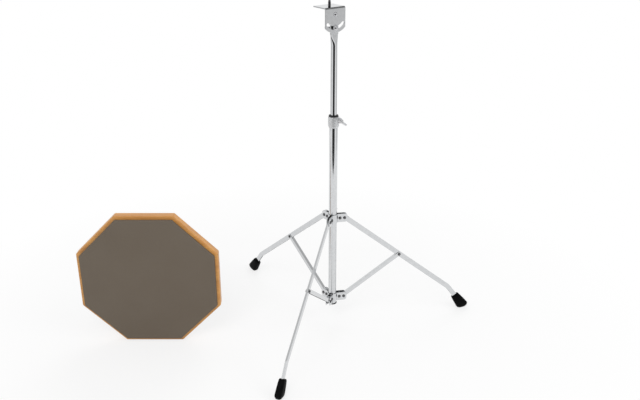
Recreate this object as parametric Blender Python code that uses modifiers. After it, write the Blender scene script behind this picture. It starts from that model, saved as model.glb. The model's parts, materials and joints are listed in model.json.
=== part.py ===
"""An octagonal practice pad and the folding tripod stand that carries it.

Metres, +Z up. The floor is z = 0 and the origin is in the middle of the set's footprint.
The stand is spread, its bracket is level, and the pad stands on one flat of its edge
beside the stand, with its playing face towards -Y.
"""

import math

import bmesh
import bpy
from mathutils import Matrix, Vector

MM = 0.001

# Clearances
FIT = 0.3 * MM  # between pieces that touch, slide or turn
OVERCUT = 5.0 * MM  # how far a cutter runs past what it cuts

# Pad
PAD_FLATS = 305.0 * MM  # across two opposite flats of the octagon
BOARD_THICK = 19.0 * MM
BOARD_EASE = 2.0 * MM
FACE_MARGIN = 7.0 * MM  # from the board's edge to the rubber sheet
FACE_THICK = 6.5 * MM
FACE_EASE = 1.0 * MM
BASE_MARGIN = 9.0 * MM
BASE_THICK = 2.5 * MM
INSERT_FLANGE_DIA = 22.0 * MM
INSERT_FLANGE_THICK = 1.6 * MM
INSERT_BARREL_DIA = 11.0 * MM
INSERT_LENGTH = 15.0 * MM
PAD_LEFT = 400.0 * MM  # pad centre from the stand's axis, towards -X
PAD_FRONT = 80.0 * MM  # pad board's middle from the stand's axis, towards -Y

# Mast
LOWER_TUBE_DIA = 18.0 * MM
LOWER_TUBE_WALL = 1.2 * MM
LOWER_TUBE_BOTTOM = 46.0 * MM
PLUG_FLANGE_DIA = 20.6 * MM
PLUG_FLANGE_THICK = 2.0 * MM
PLUG_LENGTH = 14.0 * MM
UPPER_TUBE_DIA = 13.5 * MM
UPPER_TUBE_WALL = 1.2 * MM
UPPER_TUBE_INSERTED = 190.0 * MM  # below the top of the bush
COLLAR_TOP = 496.0 * MM
COLLAR_HEIGHT = 24.0 * MM
COLLAR_DIA = 23.4 * MM
COLLAR_FOOT_DIA = 20.6 * MM
COLLAR_FOOT_HEIGHT = 5.0 * MM
COLLAR_TOP_EASE = 0.8 * MM
BUSH_FLANGE_DIA = 20.6 * MM
BUSH_FLANGE_THICK = 2.6 * MM
BUSH_SLEEVE = 13.0 * MM
CLUTCH_BOLT_ANGLE = math.radians(-40)
CLUTCH_BOLT_DROP = 7.0 * MM  # bolt axis below the collar's top
CLUTCH_BOSS_DIA = 11.0 * MM
CLUTCH_BOSS_REACH = 15.5 * MM
CLUTCH_SLACK = 1.1 * MM  # from the bolt's tip to the bush, with the clamp about a turn open
CLUTCH_WING_TURN = math.radians(45)

# Wing bolts and wing nut
WING_SCREW_DIA = 6.0 * MM
WING_HUB_DIA = 10.0 * MM
WING_HUB_HEIGHT = 8.0 * MM
WING_SPAN = 30.0 * MM
WING_HEIGHT = 13.0 * MM
WING_LOBE = 8.0 * MM  # diameter of the round end of a wing
WING_THICK = 2.6 * MM
WING_LOBE_START = math.radians(-50)
WING_LOBE_END = math.radians(140)
WING_BOLT_TAPER = 0.8  # top of the hub, as a share of its foot
WING_NUT_TAPER = 0.9

# Tilting head
HEAD_TURN = math.radians(36.9)  # direction of the bracket's fold, from +X
FLANGE_TOP = 722.4 * MM
BRACKET_WIDTH = 50.5 * MM
BRACKET_SHEET = 2.5 * MM
BRACKET_BEND = 4.0 * MM  # outer radius of the fold
FLANGE_DEPTH = 40.9 * MM
PIVOT_DROP = 14.4 * MM  # tilt pivot below the flange's top
SLOT_RADIUS = 26.5 * MM
SLOT_HALF_ANGLE = math.radians(46)
BRACKET_FOOT_RADIUS = 36.6 * MM
TONGUE_WIDTH = 19.0 * MM
TONGUE_THICK = 3.0 * MM
TONGUE_LENGTH = 40.0 * MM  # below the tilt pivot
FLATTENING = 22.0 * MM  # height over which the tube goes from round to flat
PRESSED_CORNER = 0.55  # how square the pressed section is, from 0 for an oval to 1
TILT_BOLT_DIA = 6.0 * MM
TILT_HEAD_DIA = 10.0 * MM
TILT_HEAD_HEIGHT = 3.6 * MM
TILT_HEAD_FLAT = 0.7  # flat top of the head, as a share of its radius
TILT_HEAD_RIM = 0.45  # straight side of the head, as a share of its height
TILT_BOLT_TAIL = 1.5 * MM  # thread past its nut
NUT_FLATS = 10.0 * MM
NUT_HEIGHT = 5.0 * MM
WASHER_DIA = 13.0 * MM
WASHER_THICK = 1.2 * MM
STUD_DIA = 6.35 * MM
STUD_HEIGHT = 12.0 * MM  # above the flange
STUD_TIP_DIA = 4.6 * MM
STUD_TIP_HEIGHT = 3.0 * MM

# Tripod
LEG_COUNT = 3
FIRST_LEG_ANGLE = math.radians(9.9)
PIVOT_RADIUS = 26.0 * MM  # leg and strut pivots from the tube's axis
SPREAD = math.radians(51.5)  # legs from the vertical
LEG_LINK = 166.0 * MM  # leg from its hub to the elbow
STRUT_LINK = 161.6 * MM
LOWER_PIVOT_HEIGHT = 61.5 * MM
LEG_STRAIGHT = 323.3 * MM  # leg from its hub to the bend
LEG_END_ANGLE = math.radians(37)  # bent end from the vertical
LEG_BEND = 30.0 * MM
LEG_WIDTH = 4.0 * MM
LEG_WEB_SIDE = 6.3 * MM  # pivot line to the outer face of the leg's web
LEG_OPEN_SIDE = 4.8 * MM
LEG_SHEET = 1.0 * MM
STRUT_WEB_SIDE = 5.4 * MM
STRUT_OPEN_SIDE = 3.2 * MM
STRUT_SHEET = 1.0 * MM
WEB_SETBACK = 8.5 * MM  # the web stops this far from a pivot
BOOT_LENGTH = 42.5 * MM  # along the leg's bent end, down to the floor
BOOT_SOCKET = 25.0 * MM
BOOT_TOP_DEPTH = 18.0 * MM  # depth is in the leg's plane
BOOT_TOP_WIDTH = 11.4 * MM
BOOT_RIM_DEPTH = 19.4 * MM  # just below the eased top edge
BOOT_RIM_WIDTH = 13.8 * MM
BOOT_EASE = 2.0 * MM
BOOT_DEPTH = 28.6 * MM
BOOT_WIDTH = 16.6 * MM
BOOT_WIDEST = 12.1 * MM  # widest section above the floor, along the leg's bent end
BOOT_FLAT = 1.0 * MM  # what the level sole takes off the rounded end
BOOT_TOP_TILT = math.radians(4)  # sections from square to the leg's end
BOOT_SOLE_TILT = math.radians(25)
BOOT_CORNER = 0.6  # how round a section is, from 0 for a box to 1 for an oval

# Hubs and rivets
HUB_SHEET = 1.5 * MM
HUB_HEIGHT = 20.0 * MM
HUB_FILLET = 3.0 * MM
EAR_MARGIN = 6.5 * MM  # ear past its pivot
EAR_CORNER = 6.0 * MM
HUB_RIVET_RADIUS = 15.5 * MM
HUB_RIVET_SPACER_DIA = 5.6 * MM
RIVET_DIA = 4.0 * MM
RIVET_HEAD_DIA = 7.2 * MM
RIVET_HEAD_HEIGHT = 1.8 * MM
RIVET_SHOULDER = 0.62  # where the head's curve turns, as a share of its radius
RIVET_SHOULDER_RISE = 0.8  # and of its height
HUB_BOSS_DIA = 11.0 * MM
HUB_BOSS_REACH = 14.5 * MM

# Facets
TUBE_SIDES = 32
BOOT_SIDES = 24
SMALL_SIDES = 16
RIVET_SIDES = 12
ARC_STEPS = 6

# Sizes that follow from the ones above
LEG_DEPTH = LEG_WEB_SIDE + LEG_OPEN_SIDE
STRUT_WIDTH = LEG_WIDTH + 2 * FIT + 2 * STRUT_SHEET  # the strut's walls straddle the leg
STRUT_SPREAD = math.asin(LEG_LINK * math.sin(SPREAD) / STRUT_LINK)
ELBOW_HEIGHT = LOWER_PIVOT_HEIGHT + STRUT_LINK * math.cos(STRUT_SPREAD)
UPPER_PIVOT_HEIGHT = ELBOW_HEIGHT + LEG_LINK * math.cos(SPREAD)
LEG_GAP = LEG_WIDTH + 2 * FIT
STRUT_GAP = STRUT_WIDTH + 2 * FIT
TILT_PIVOT_HEIGHT = FLANGE_TOP - PIVOT_DROP
BUSH_TOP = COLLAR_TOP + FIT + BUSH_FLANGE_THICK
LOWER_TUBE_TOP = COLLAR_TOP - BUSH_SLEEVE - FIT
COLLAR_BORE = LOWER_TUBE_DIA + 2 * FIT
CLUTCH_BOLT_HEIGHT = COLLAR_TOP - CLUTCH_BOLT_DROP
PLATE_BACK = -TONGUE_THICK / 2 - FIT  # bracket plate's back face, from the tube's axis
PLATE_FRONT = PLATE_BACK - BRACKET_SHEET
BEND_RADIUS_INSIDE = BRACKET_BEND - BRACKET_SHEET

# The set's footprint, centred on the origin
LEG_BEND_RADIUS = PIVOT_RADIUS + LEG_STRAIGHT * math.sin(SPREAD)
LEG_BEND_HEIGHT = UPPER_PIVOT_HEIGHT - LEG_STRAIGHT * math.cos(SPREAD)
BOOT_WIDEST_DROP = LEG_BEND_HEIGHT - BOOT_WIDEST * math.cos(LEG_END_ANGLE)
FOOT_REACH = LEG_BEND_RADIUS + BOOT_WIDEST_DROP * math.tan(LEG_END_ANGLE) + BOOT_DEPTH / 2
LEG_ANGLES = [FIRST_LEG_ANGLE + math.tau * i / LEG_COUNT for i in range(LEG_COUNT)]
FOOT_RIGHT = FOOT_REACH * max(math.cos(a) for a in LEG_ANGLES)
FOOT_BACK = FOOT_REACH * max(math.sin(a) for a in LEG_ANGLES)
FOOT_FRONT = FOOT_REACH * min(math.sin(a) for a in LEG_ANGLES)
STAND_X = (PAD_LEFT + PAD_FLATS / 2 - FOOT_RIGHT) / 2
STAND_Y = -(FOOT_BACK + FOOT_FRONT) / 2


# Scene and materials
def clear_scene():
    for obj in list(bpy.data.objects):
        bpy.data.objects.remove(obj, do_unlink=True)


def collection(name):
    made = bpy.data.collections.new(name)
    bpy.context.scene.collection.children.link(made)
    return made


def material(name, colour, roughness, metallic=0.0):
    made = bpy.data.materials.new(name)
    made.use_nodes = True
    shader = made.node_tree.nodes["Principled BSDF"]
    shader.inputs["Base Color"].default_value = (*colour, 1.0)
    shader.inputs["Roughness"].default_value = roughness
    shader.inputs["Metallic"].default_value = metallic
    return made


clear_scene()
PARTS = collection("practice_pad_and_stand")
CUTTERS = collection("cutters")
CHROME = material("chrome", (0.72, 0.73, 0.75), 0.12, 1.0)
ZINC = material("zinc_plated_steel", (0.55, 0.56, 0.58), 0.3, 1.0)
NYLON = material("black_nylon", (0.02, 0.02, 0.022), 0.5)
RUBBER = material("black_rubber", (0.018, 0.018, 0.02), 0.6)
GUM_RUBBER = material("taupe_gum_rubber", (0.145, 0.12, 0.098), 0.75)
GRIP_RUBBER = material("dark_grip_rubber", (0.03, 0.03, 0.03), 0.8)
WOOD = material("sealed_wood", (0.6, 0.31, 0.1), 0.45)


# Meshes
def placed(obj, location=(0, 0, 0), rotation=(0, 0, 0), parent=None):
    obj.location = location
    obj.rotation_euler = rotation
    obj.parent = parent
    return obj


def axis_empty(name, location=(0, 0, 0), rotation=(0, 0, 0), parent=None):
    empty = bpy.data.objects.new(name, None)
    empty.empty_display_size = 20 * MM
    PARTS.objects.link(empty)
    return placed(empty, location, rotation, parent)


def add_part(name, mesh, finish, location=(0, 0, 0), rotation=(0, 0, 0), parent=None):
    mesh.materials.clear()
    mesh.materials.append(finish)
    mesh.shade_smooth()
    mesh.set_sharp_from_angle(angle=math.radians(35))
    obj = bpy.data.objects.new(name, mesh)
    PARTS.objects.link(obj)
    return placed(obj, location, rotation, parent)


def boolean(obj, tool_mesh, operation="DIFFERENCE"):
    """Cuts or joins a mesh that is given in the object's own frame."""
    tool = bpy.data.objects.new(f"{obj.name}_{operation.lower()}", tool_mesh)
    CUTTERS.objects.link(tool)
    tool.parent = obj
    tool.hide_render = True
    tool.display_type = "WIRE"
    modifier = obj.modifiers.new(operation.title(), "BOOLEAN")
    modifier.operation = operation
    modifier.solver = "EXACT"
    modifier.object = tool
    return obj


def baked(obj):
    """The object's evaluated mesh, welded and facing outwards. The object is removed."""
    bpy.context.view_layer.update()
    graph = bpy.context.evaluated_depsgraph_get()
    mesh = bpy.data.meshes.new_from_object(obj.evaluated_get(graph))
    bpy.data.objects.remove(obj, do_unlink=True)
    bm = bmesh.new()
    bm.from_mesh(mesh)
    bmesh.ops.remove_doubles(bm, verts=bm.verts, dist=0.001 * MM)
    bmesh.ops.recalc_face_normals(bm, faces=bm.faces)
    bm.to_mesh(mesh)
    bm.free()
    return mesh


def moved(mesh, matrix):
    mesh.transform(matrix)
    return mesh


def joined(meshes):
    """Several meshes that don't meet, as one, for use as a cutter."""
    bm = bmesh.new()
    for mesh in meshes:
        bm.from_mesh(mesh)
    made = bpy.data.meshes.new("joined")
    bm.to_mesh(made)
    bm.free()
    return made


def rod(diameter, length, sides=SMALL_SIDES):
    """A cylinder along Z, centred on the origin."""
    bm = bmesh.new()
    radius = diameter / 2
    bmesh.ops.create_cone(
        bm, cap_ends=True, segments=sides, radius1=radius, radius2=radius, depth=length
    )
    made = bpy.data.meshes.new("rod")
    bm.to_mesh(made)
    bm.free()
    return made


def prism(flats, thick, sides, ease=0.0):
    """A regular prism along Z from 0 to thick, a flat of it facing -Y, with eased edges."""
    bm = bmesh.new()
    radius = flats / 2 / math.cos(math.pi / sides)
    turn = Matrix.Rotation(math.pi / sides, 4, "Z") @ Matrix.Translation((0, 0, thick / 2))
    bmesh.ops.create_cone(
        bm, cap_ends=True, segments=sides, radius1=radius, radius2=radius, depth=thick, matrix=turn
    )
    if ease:
        rims = [e for e in bm.edges if abs(e.verts[0].co.z - e.verts[1].co.z) < FIT]
        bmesh.ops.bevel(bm, geom=rims, offset=ease, segments=2, profile=0.5, affect="EDGES")
    made = bpy.data.meshes.new("prism")
    bm.to_mesh(made)
    bm.free()
    return made


def block(size, centre):
    bm = bmesh.new()
    bmesh.ops.create_cube(bm, size=1.0, matrix=Matrix.Translation(centre) @ Matrix.Diagonal((*size, 1)))
    made = bpy.data.meshes.new("block")
    bm.to_mesh(made)
    bm.free()
    return made


def turned(profile, sides):
    """A shape turned about Z from (radius, height) points listed down its outer side."""
    mesh = bpy.data.meshes.new("profile")
    edges = [(i, i + 1) for i in range(len(profile) - 1)]
    if profile[0][0] > 0:
        edges.append((len(profile) - 1, 0))
    mesh.from_pydata([(radius, 0, height) for radius, height in profile], edges, [])
    obj = bpy.data.objects.new("profile", mesh)
    PARTS.objects.link(obj)
    screw = obj.modifiers.new("Turn", "SCREW")
    screw.axis = "Z"
    screw.steps = sides
    screw.render_steps = sides
    screw.use_merge_vertices = True
    screw.merge_threshold = 0.01 * MM
    return baked(obj)


def plate(outlines, thick):
    """A sheet cut to outlines in XY, the first its edge and the others holes, centred on z = 0."""
    curve = bpy.data.curves.new("outline", "CURVE")
    curve.dimensions = "2D"
    curve.fill_mode = "BOTH"
    curve.extrude = thick / 2
    for points in outlines:
        spline = curve.splines.new("POLY")
        spline.points.add(len(points) - 1)
        for point, place in zip(spline.points, points):
            point.co = (place[0], place[1], 0, 1)
        spline.use_cyclic_u = True
    obj = bpy.data.objects.new("outline", curve)
    PARTS.objects.link(obj)
    return baked(obj)


def arc(centre, radius, start, end, steps=ARC_STEPS):
    """Points on an arc in a plane, both ends included, from angle start to angle end."""
    turns = [start + (end - start) * i / steps for i in range(steps + 1)]
    return [Vector((centre[0] + radius * math.cos(t), centre[1] + radius * math.sin(t))) for t in turns]


def circle(centre, diameter, sides=SMALL_SIDES):
    return arc(centre, diameter / 2, 0, math.tau * (1 - 1 / sides), sides - 1)


SIDE_VIEW = Matrix.Rotation(math.pi / 2, 4, "X")  # turns a plan outline up, y to z
SPIN_TO_Y = (math.pi / 2, 0, 0)  # lays a turned piece's axis along -Y


# Turned fasteners
def dome(height, up):
    """Points of a rivet's or screw's rounded head, from its crown to its rim."""
    rim = RIVET_HEAD_DIA / 2
    rise = RIVET_HEAD_HEIGHT * up
    shoulder = (RIVET_SHOULDER * rim, height + RIVET_SHOULDER_RISE * rise)
    return [(0, height + rise), shoulder, (rim, height)]


def rivet(grip):
    """A rivet along Z with a head at each end and grip between the heads."""
    half = grip / 2
    shank = RIVET_DIA / 2
    profile = dome(half, 1) + [(shank, half), (shank, -half)] + dome(-half, -1)[::-1]
    return turned(profile, RIVET_SIDES)


def spaced_rivet(grip, gap):
    """A rivet with a thicker middle that keeps two ears apart."""
    half = grip / 2
    inner = gap / 2 - FIT
    shank = RIVET_DIA / 2
    spacer = HUB_RIVET_SPACER_DIA / 2
    middle = [(shank, half), (shank, inner), (spacer, inner)]
    middle += [(spacer, -inner), (shank, -inner), (shank, -half)]
    return turned(dome(half, 1) + middle + dome(-half, -1)[::-1], RIVET_SIDES)


def stub_rivet(grip):
    """One headed end of a rivet: the head above 0, the shank down to -grip."""
    shank = RIVET_DIA / 2
    return turned(dome(0, 1) + [(shank, 0), (shank, -grip), (0, -grip)], RIVET_SIDES)


def bolt(shank_dia, shank, head_dia, head_height):
    """A round-headed bolt: the head above 0, the shank down to -shank."""
    rim = head_dia / 2
    flat = TILT_HEAD_FLAT * rim
    head = [(0, head_height), (flat, head_height), (rim, TILT_HEAD_RIM * head_height), (rim, 0)]
    return turned(head + [(shank_dia / 2, 0), (shank_dia / 2, -shank), (0, -shank)], SMALL_SIDES)


def wings():
    """The two wings of a wing bolt or nut, upright in XZ, from inside the hub to their lobes."""
    lobe = WING_LOBE / 2
    out = WING_SPAN / 2 - lobe
    up = WING_HEIGHT - lobe
    root = WING_HUB_DIA / 2 - WING_THICK / 2
    right = [Vector((root, WING_THICK / 2))]
    right += arc((out, up), lobe, WING_LOBE_START, WING_LOBE_END)
    right += [Vector((root, WING_HUB_HEIGHT - WING_THICK / 2))]
    outline = right + [Vector((-p.x, p.y)) for p in reversed(right)]
    return moved(plate([outline], WING_THICK), SIDE_VIEW)


def add_wing_bolt(name, shank, location, rotation, parent):
    """A wing bolt whose hub stands on 0, with its screw down to -shank."""
    hub = WING_HUB_DIA / 2
    screw = WING_SCREW_DIA / 2
    profile = [(0, WING_HUB_HEIGHT), (WING_BOLT_TAPER * hub, WING_HUB_HEIGHT), (hub, 0)]
    profile += [(screw, 0), (screw, -shank), (0, -shank)]
    obj = add_part(name, turned(profile, SMALL_SIDES), ZINC, location, rotation, parent)
    return boolean(obj, wings(), "UNION")


def add_nut(name, bore_dia, location, rotation, parent):
    nut = add_part(name, prism(NUT_FLATS, NUT_HEIGHT, 6), ZINC, location, rotation, parent)
    return boolean(nut, rod(bore_dia + 2 * FIT, 4 * NUT_HEIGHT))


# The pad, modelled lying flat with its face up and stood on its edge by its empty
def add_pad():
    centre = axis_empty(
        "pad_centre",
        (STAND_X - PAD_LEFT, STAND_Y - PAD_FRONT, PAD_FLATS / 2),
        (math.pi / 2, 0, 0),
    )
    back = -BOARD_THICK / 2
    core = add_part(
        "pad_core", prism(PAD_FLATS, BOARD_THICK, 8, BOARD_EASE), WOOD, (0, 0, back), parent=centre
    )
    seat = rod(INSERT_BARREL_DIA + 2 * FIT, 2 * (INSERT_LENGTH + FIT))
    boolean(core, seat)
    add_part(
        "pad_face",
        prism(PAD_FLATS - 2 * FACE_MARGIN, FACE_THICK, 8, FACE_EASE),
        GUM_RUBBER,
        (0, 0, BOARD_THICK / 2 + FIT),
        parent=centre,
    )
    base = add_part(
        "pad_base",
        prism(PAD_FLATS - 2 * BASE_MARGIN, BASE_THICK, 8),
        GRIP_RUBBER,
        (0, 0, back - FIT - BASE_THICK),
        parent=centre,
    )
    boolean(base, rod(INSERT_FLANGE_DIA + 2 * FIT, 4 * BASE_THICK, BOOT_SIDES))
    bore = STUD_DIA / 2 + FIT
    barrel = INSERT_BARREL_DIA / 2
    flange = INSERT_FLANGE_DIA / 2
    under = -FIT - INSERT_FLANGE_THICK
    profile = [(bore, INSERT_LENGTH), (barrel, INSERT_LENGTH), (barrel, -FIT)]
    profile += [(flange, -FIT), (flange, under), (bore, under)]
    add_part("pad_insert", turned(profile, BOOT_SIDES), ZINC, (0, 0, back), parent=centre)


# The mast: outer tube, clutch and inner tube
def add_lower_tube(stand):
    outer = LOWER_TUBE_DIA / 2
    inner = outer - LOWER_TUBE_WALL
    profile = [(inner, LOWER_TUBE_TOP), (outer, LOWER_TUBE_TOP)]
    profile += [(outer, LOWER_TUBE_BOTTOM), (inner, LOWER_TUBE_BOTTOM)]
    add_part("lower_tube", turned(profile, TUBE_SIDES), CHROME, parent=stand)
    stem = inner - FIT
    flange = PLUG_FLANGE_DIA / 2
    seat = LOWER_TUBE_BOTTOM - FIT
    profile = [(0, seat + PLUG_LENGTH), (stem, seat + PLUG_LENGTH), (stem, seat), (flange, seat)]
    profile += [(flange, seat - PLUG_FLANGE_THICK), (0, seat - PLUG_FLANGE_THICK)]
    add_part("tube_end_plug", turned(profile, TUBE_SIDES), NYLON, parent=stand)


def add_clutch(stand):
    """Adds the collar, its wing bolt and the bush, and gives the bush, which turns with the mast."""
    outer = COLLAR_DIA / 2
    bore = COLLAR_BORE / 2
    foot = COLLAR_TOP - COLLAR_HEIGHT
    eased = COLLAR_TOP_EASE
    profile = [(bore, COLLAR_TOP), (outer - eased, COLLAR_TOP), (outer, COLLAR_TOP - eased)]
    profile += [(outer, foot + COLLAR_FOOT_HEIGHT), (COLLAR_FOOT_DIA / 2, foot), (bore, foot)]
    collar = add_part("clutch_collar", turned(profile, TUBE_SIDES), CHROME, parent=stand)
    radial = Matrix.Rotation(CLUTCH_BOLT_ANGLE, 4, "Z") @ Matrix.Rotation(math.pi / 2, 4, "Y")
    lift = Matrix.Translation((0, 0, CLUTCH_BOLT_HEIGHT))
    boss_root = (bore + outer) / 2
    boss = rod(CLUTCH_BOSS_DIA, CLUTCH_BOSS_REACH - boss_root, BOOT_SIDES)
    middle = Matrix.Translation((0, 0, (CLUTCH_BOSS_REACH + boss_root) / 2))
    boolean(collar, moved(boss, lift @ radial @ middle), "UNION")
    hole = rod(WING_SCREW_DIA + 2 * FIT, CLUTCH_BOSS_REACH + OVERCUT)
    middle = Matrix.Translation((0, 0, (CLUTCH_BOSS_REACH + OVERCUT) / 2))
    boolean(collar, moved(hole, lift @ radial @ middle))
    seat = CLUTCH_BOSS_REACH + FIT
    place = (seat * math.cos(CLUTCH_BOLT_ANGLE), seat * math.sin(CLUTCH_BOLT_ANGLE), CLUTCH_BOLT_HEIGHT)
    add_wing_bolt(
        "clutch_wing_bolt",
        seat - LOWER_TUBE_DIA / 2 - CLUTCH_SLACK,
        place,
        (radial @ Matrix.Rotation(CLUTCH_WING_TURN, 4, "Z")).to_euler(),
        stand,
    )
    inner = UPPER_TUBE_DIA / 2 + FIT
    sleeve = LOWER_TUBE_DIA / 2
    flange = BUSH_FLANGE_DIA / 2
    step = COLLAR_TOP + FIT
    profile = [(inner, BUSH_TOP), (flange, BUSH_TOP), (flange, step), (sleeve, step)]
    profile += [(sleeve, COLLAR_TOP - BUSH_SLEEVE), (inner, COLLAR_TOP - BUSH_SLEEVE)]
    return add_part("clutch_bush", turned(profile, TUBE_SIDES), NYLON, parent=stand)


def flattened(share, turn):
    """A point of the tube's section, round at share 0 and pressed flat at share 1."""
    ease = share * share * (3 - 2 * share)
    round_radius = UPPER_TUBE_DIA / 2
    wide = TONGUE_WIDTH / 2 - FIT
    thin = TONGUE_THICK / 2 - FIT
    across = round_radius + (wide - round_radius) * ease
    through = round_radius + (thin - round_radius) * ease
    square = 1 - PRESSED_CORNER * ease
    x = math.copysign(abs(math.cos(turn)) ** square, math.cos(turn))
    y = math.copysign(abs(math.sin(turn)) ** square, math.sin(turn))
    return across * x, through * y


def tube_with_pressed_end(bottom, top):
    """The solid form of the inner tube, pressed flat over its last stretch below top."""
    bm = bmesh.new()
    length = top + OVERCUT - bottom
    lift = Matrix.Translation((0, 0, bottom + length / 2))
    radius = UPPER_TUBE_DIA / 2
    bmesh.ops.create_cone(
        bm, cap_ends=True, segments=TUBE_SIDES, radius1=radius, radius2=radius, depth=length, matrix=lift
    )
    start = top - FLATTENING
    for i in range(ARC_STEPS + 1):
        height = start + FLATTENING * i / ARC_STEPS
        everything = bm.verts[:] + bm.edges[:] + bm.faces[:]
        bmesh.ops.bisect_plane(bm, geom=everything, plane_co=(0, 0, height), plane_no=(0, 0, 1))
    for v in bm.verts:
        share = min(max((v.co.z - start) / FLATTENING, 0), 1)
        v.co.x, v.co.y = flattened(share, math.atan2(v.co.y, v.co.x))
    made = bpy.data.meshes.new("pressed_tube")
    bm.to_mesh(made)
    bm.free()
    return made


def add_upper_tube(head):
    """The inner tube, in the head's frame, whose origin is on the tilt pivot."""
    bottom = BUSH_TOP - UPPER_TUBE_INSERTED - TILT_PIVOT_HEIGHT
    tongue_foot = -TONGUE_LENGTH
    tube = add_part("upper_tube", tube_with_pressed_end(bottom, tongue_foot), CHROME, parent=head)
    half = TONGUE_WIDTH / 2
    outline = arc((0, 0), half, math.pi, 0, 2 * ARC_STEPS)
    outline += [Vector((half, tongue_foot)), Vector((-half, tongue_foot))]
    hole = TILT_BOLT_DIA + 2 * FIT
    holes = [circle((0, 0), hole), circle((0, -SLOT_RADIUS), hole)]
    tongue = moved(plate([outline] + holes, TONGUE_THICK), SIDE_VIEW)
    boolean(tube, tongue, "UNION")
    bore_top = tongue_foot - FLATTENING
    bore_length = bore_top - bottom + OVERCUT
    bore = rod(UPPER_TUBE_DIA - 2 * UPPER_TUBE_WALL, bore_length, TUBE_SIDES)
    boolean(tube, moved(bore, Matrix.Translation((0, 0, bore_top - bore_length / 2))))


# The tilting head. Its frame's origin is on the tilt pivot, X runs along the fold and -Y is the front
def bracket_side():
    """The bent sheet seen from its end, as (depth, height) points."""
    top = PIVOT_DROP
    under = top - BRACKET_SHEET
    low = -BRACKET_FOOT_RADIUS - OVERCUT
    back = PLATE_FRONT + FLANGE_DEPTH
    inside = (PLATE_BACK + BEND_RADIUS_INSIDE, under - BEND_RADIUS_INSIDE)
    outside = (PLATE_FRONT + BRACKET_BEND, top - BRACKET_BEND)
    points = [Vector((PLATE_FRONT, low)), Vector((PLATE_BACK, low))]
    points += arc(inside, BEND_RADIUS_INSIDE, math.pi, math.pi / 2)
    points += [Vector((back, under)), Vector((back, top))]
    points += arc(outside, BRACKET_BEND, math.pi / 2, math.pi)
    return points


def bracket_front():
    """The bracket's front outline, its curved slot and its pivot hole."""
    half = BRACKET_WIDTH / 2
    corner = math.asin(half / BRACKET_FOOT_RADIUS)
    down = -math.pi / 2
    edge = [Vector((half, PIVOT_DROP + OVERCUT)), Vector((-half, PIVOT_DROP + OVERCUT))]
    edge += arc((0, 0), BRACKET_FOOT_RADIUS, down - corner, down + corner, 3 * ARC_STEPS)
    reach = TILT_BOLT_DIA / 2 + FIT
    start = down - SLOT_HALF_ANGLE
    end = down + SLOT_HALF_ANGLE
    slot = arc((0, 0), SLOT_RADIUS + reach, start, end, 2 * ARC_STEPS)
    slot += arc(arc((0, 0), SLOT_RADIUS, end, end)[0], reach, end, end + math.pi)[1:-1]
    slot += arc((0, 0), SLOT_RADIUS - reach, end, start, 2 * ARC_STEPS)
    slot += arc(arc((0, 0), SLOT_RADIUS, start, start)[0], reach, start + math.pi, start + math.tau)[1:-1]
    return [edge, slot, circle((0, 0), 2 * reach)]


def add_bracket(tilt):
    sheet = plate([bracket_side()], BRACKET_WIDTH + 2 * OVERCUT)
    end_on = Matrix(((0, 0, 1, 0), (1, 0, 0, 0), (0, 1, 0, 0), (0, 0, 0, 1)))
    bracket = add_part("tilt_bracket", moved(sheet, end_on), CHROME, parent=tilt)
    front = moved(plate(bracket_front(), 4 * FLANGE_DEPTH), SIDE_VIEW)
    boolean(bracket, front, "INTERSECT")
    stud_y = PLATE_FRONT + FLANGE_DEPTH / 2
    hole = rod(STUD_DIA + 2 * FIT, 2 * OVERCUT + BRACKET_SHEET)
    boolean(bracket, moved(hole, Matrix.Translation((0, stud_y, PIVOT_DROP))))
    radius = STUD_DIA / 2
    tip = STUD_TIP_DIA / 2
    tail = -BRACKET_SHEET - FIT - NUT_HEIGHT - TILT_BOLT_TAIL
    profile = [(0, STUD_HEIGHT), (tip, STUD_HEIGHT), (radius, STUD_HEIGHT - STUD_TIP_HEIGHT)]
    profile += [(radius, tail), (0, tail)]
    place = (0, stud_y, PIVOT_DROP)
    add_part("pad_stud", turned(profile, SMALL_SIDES), ZINC, place, parent=tilt)
    place = (0, stud_y, PIVOT_DROP - BRACKET_SHEET - FIT - NUT_HEIGHT)
    add_nut("stud_nut", STUD_DIA, place, (0, 0, 0), tilt)


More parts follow.
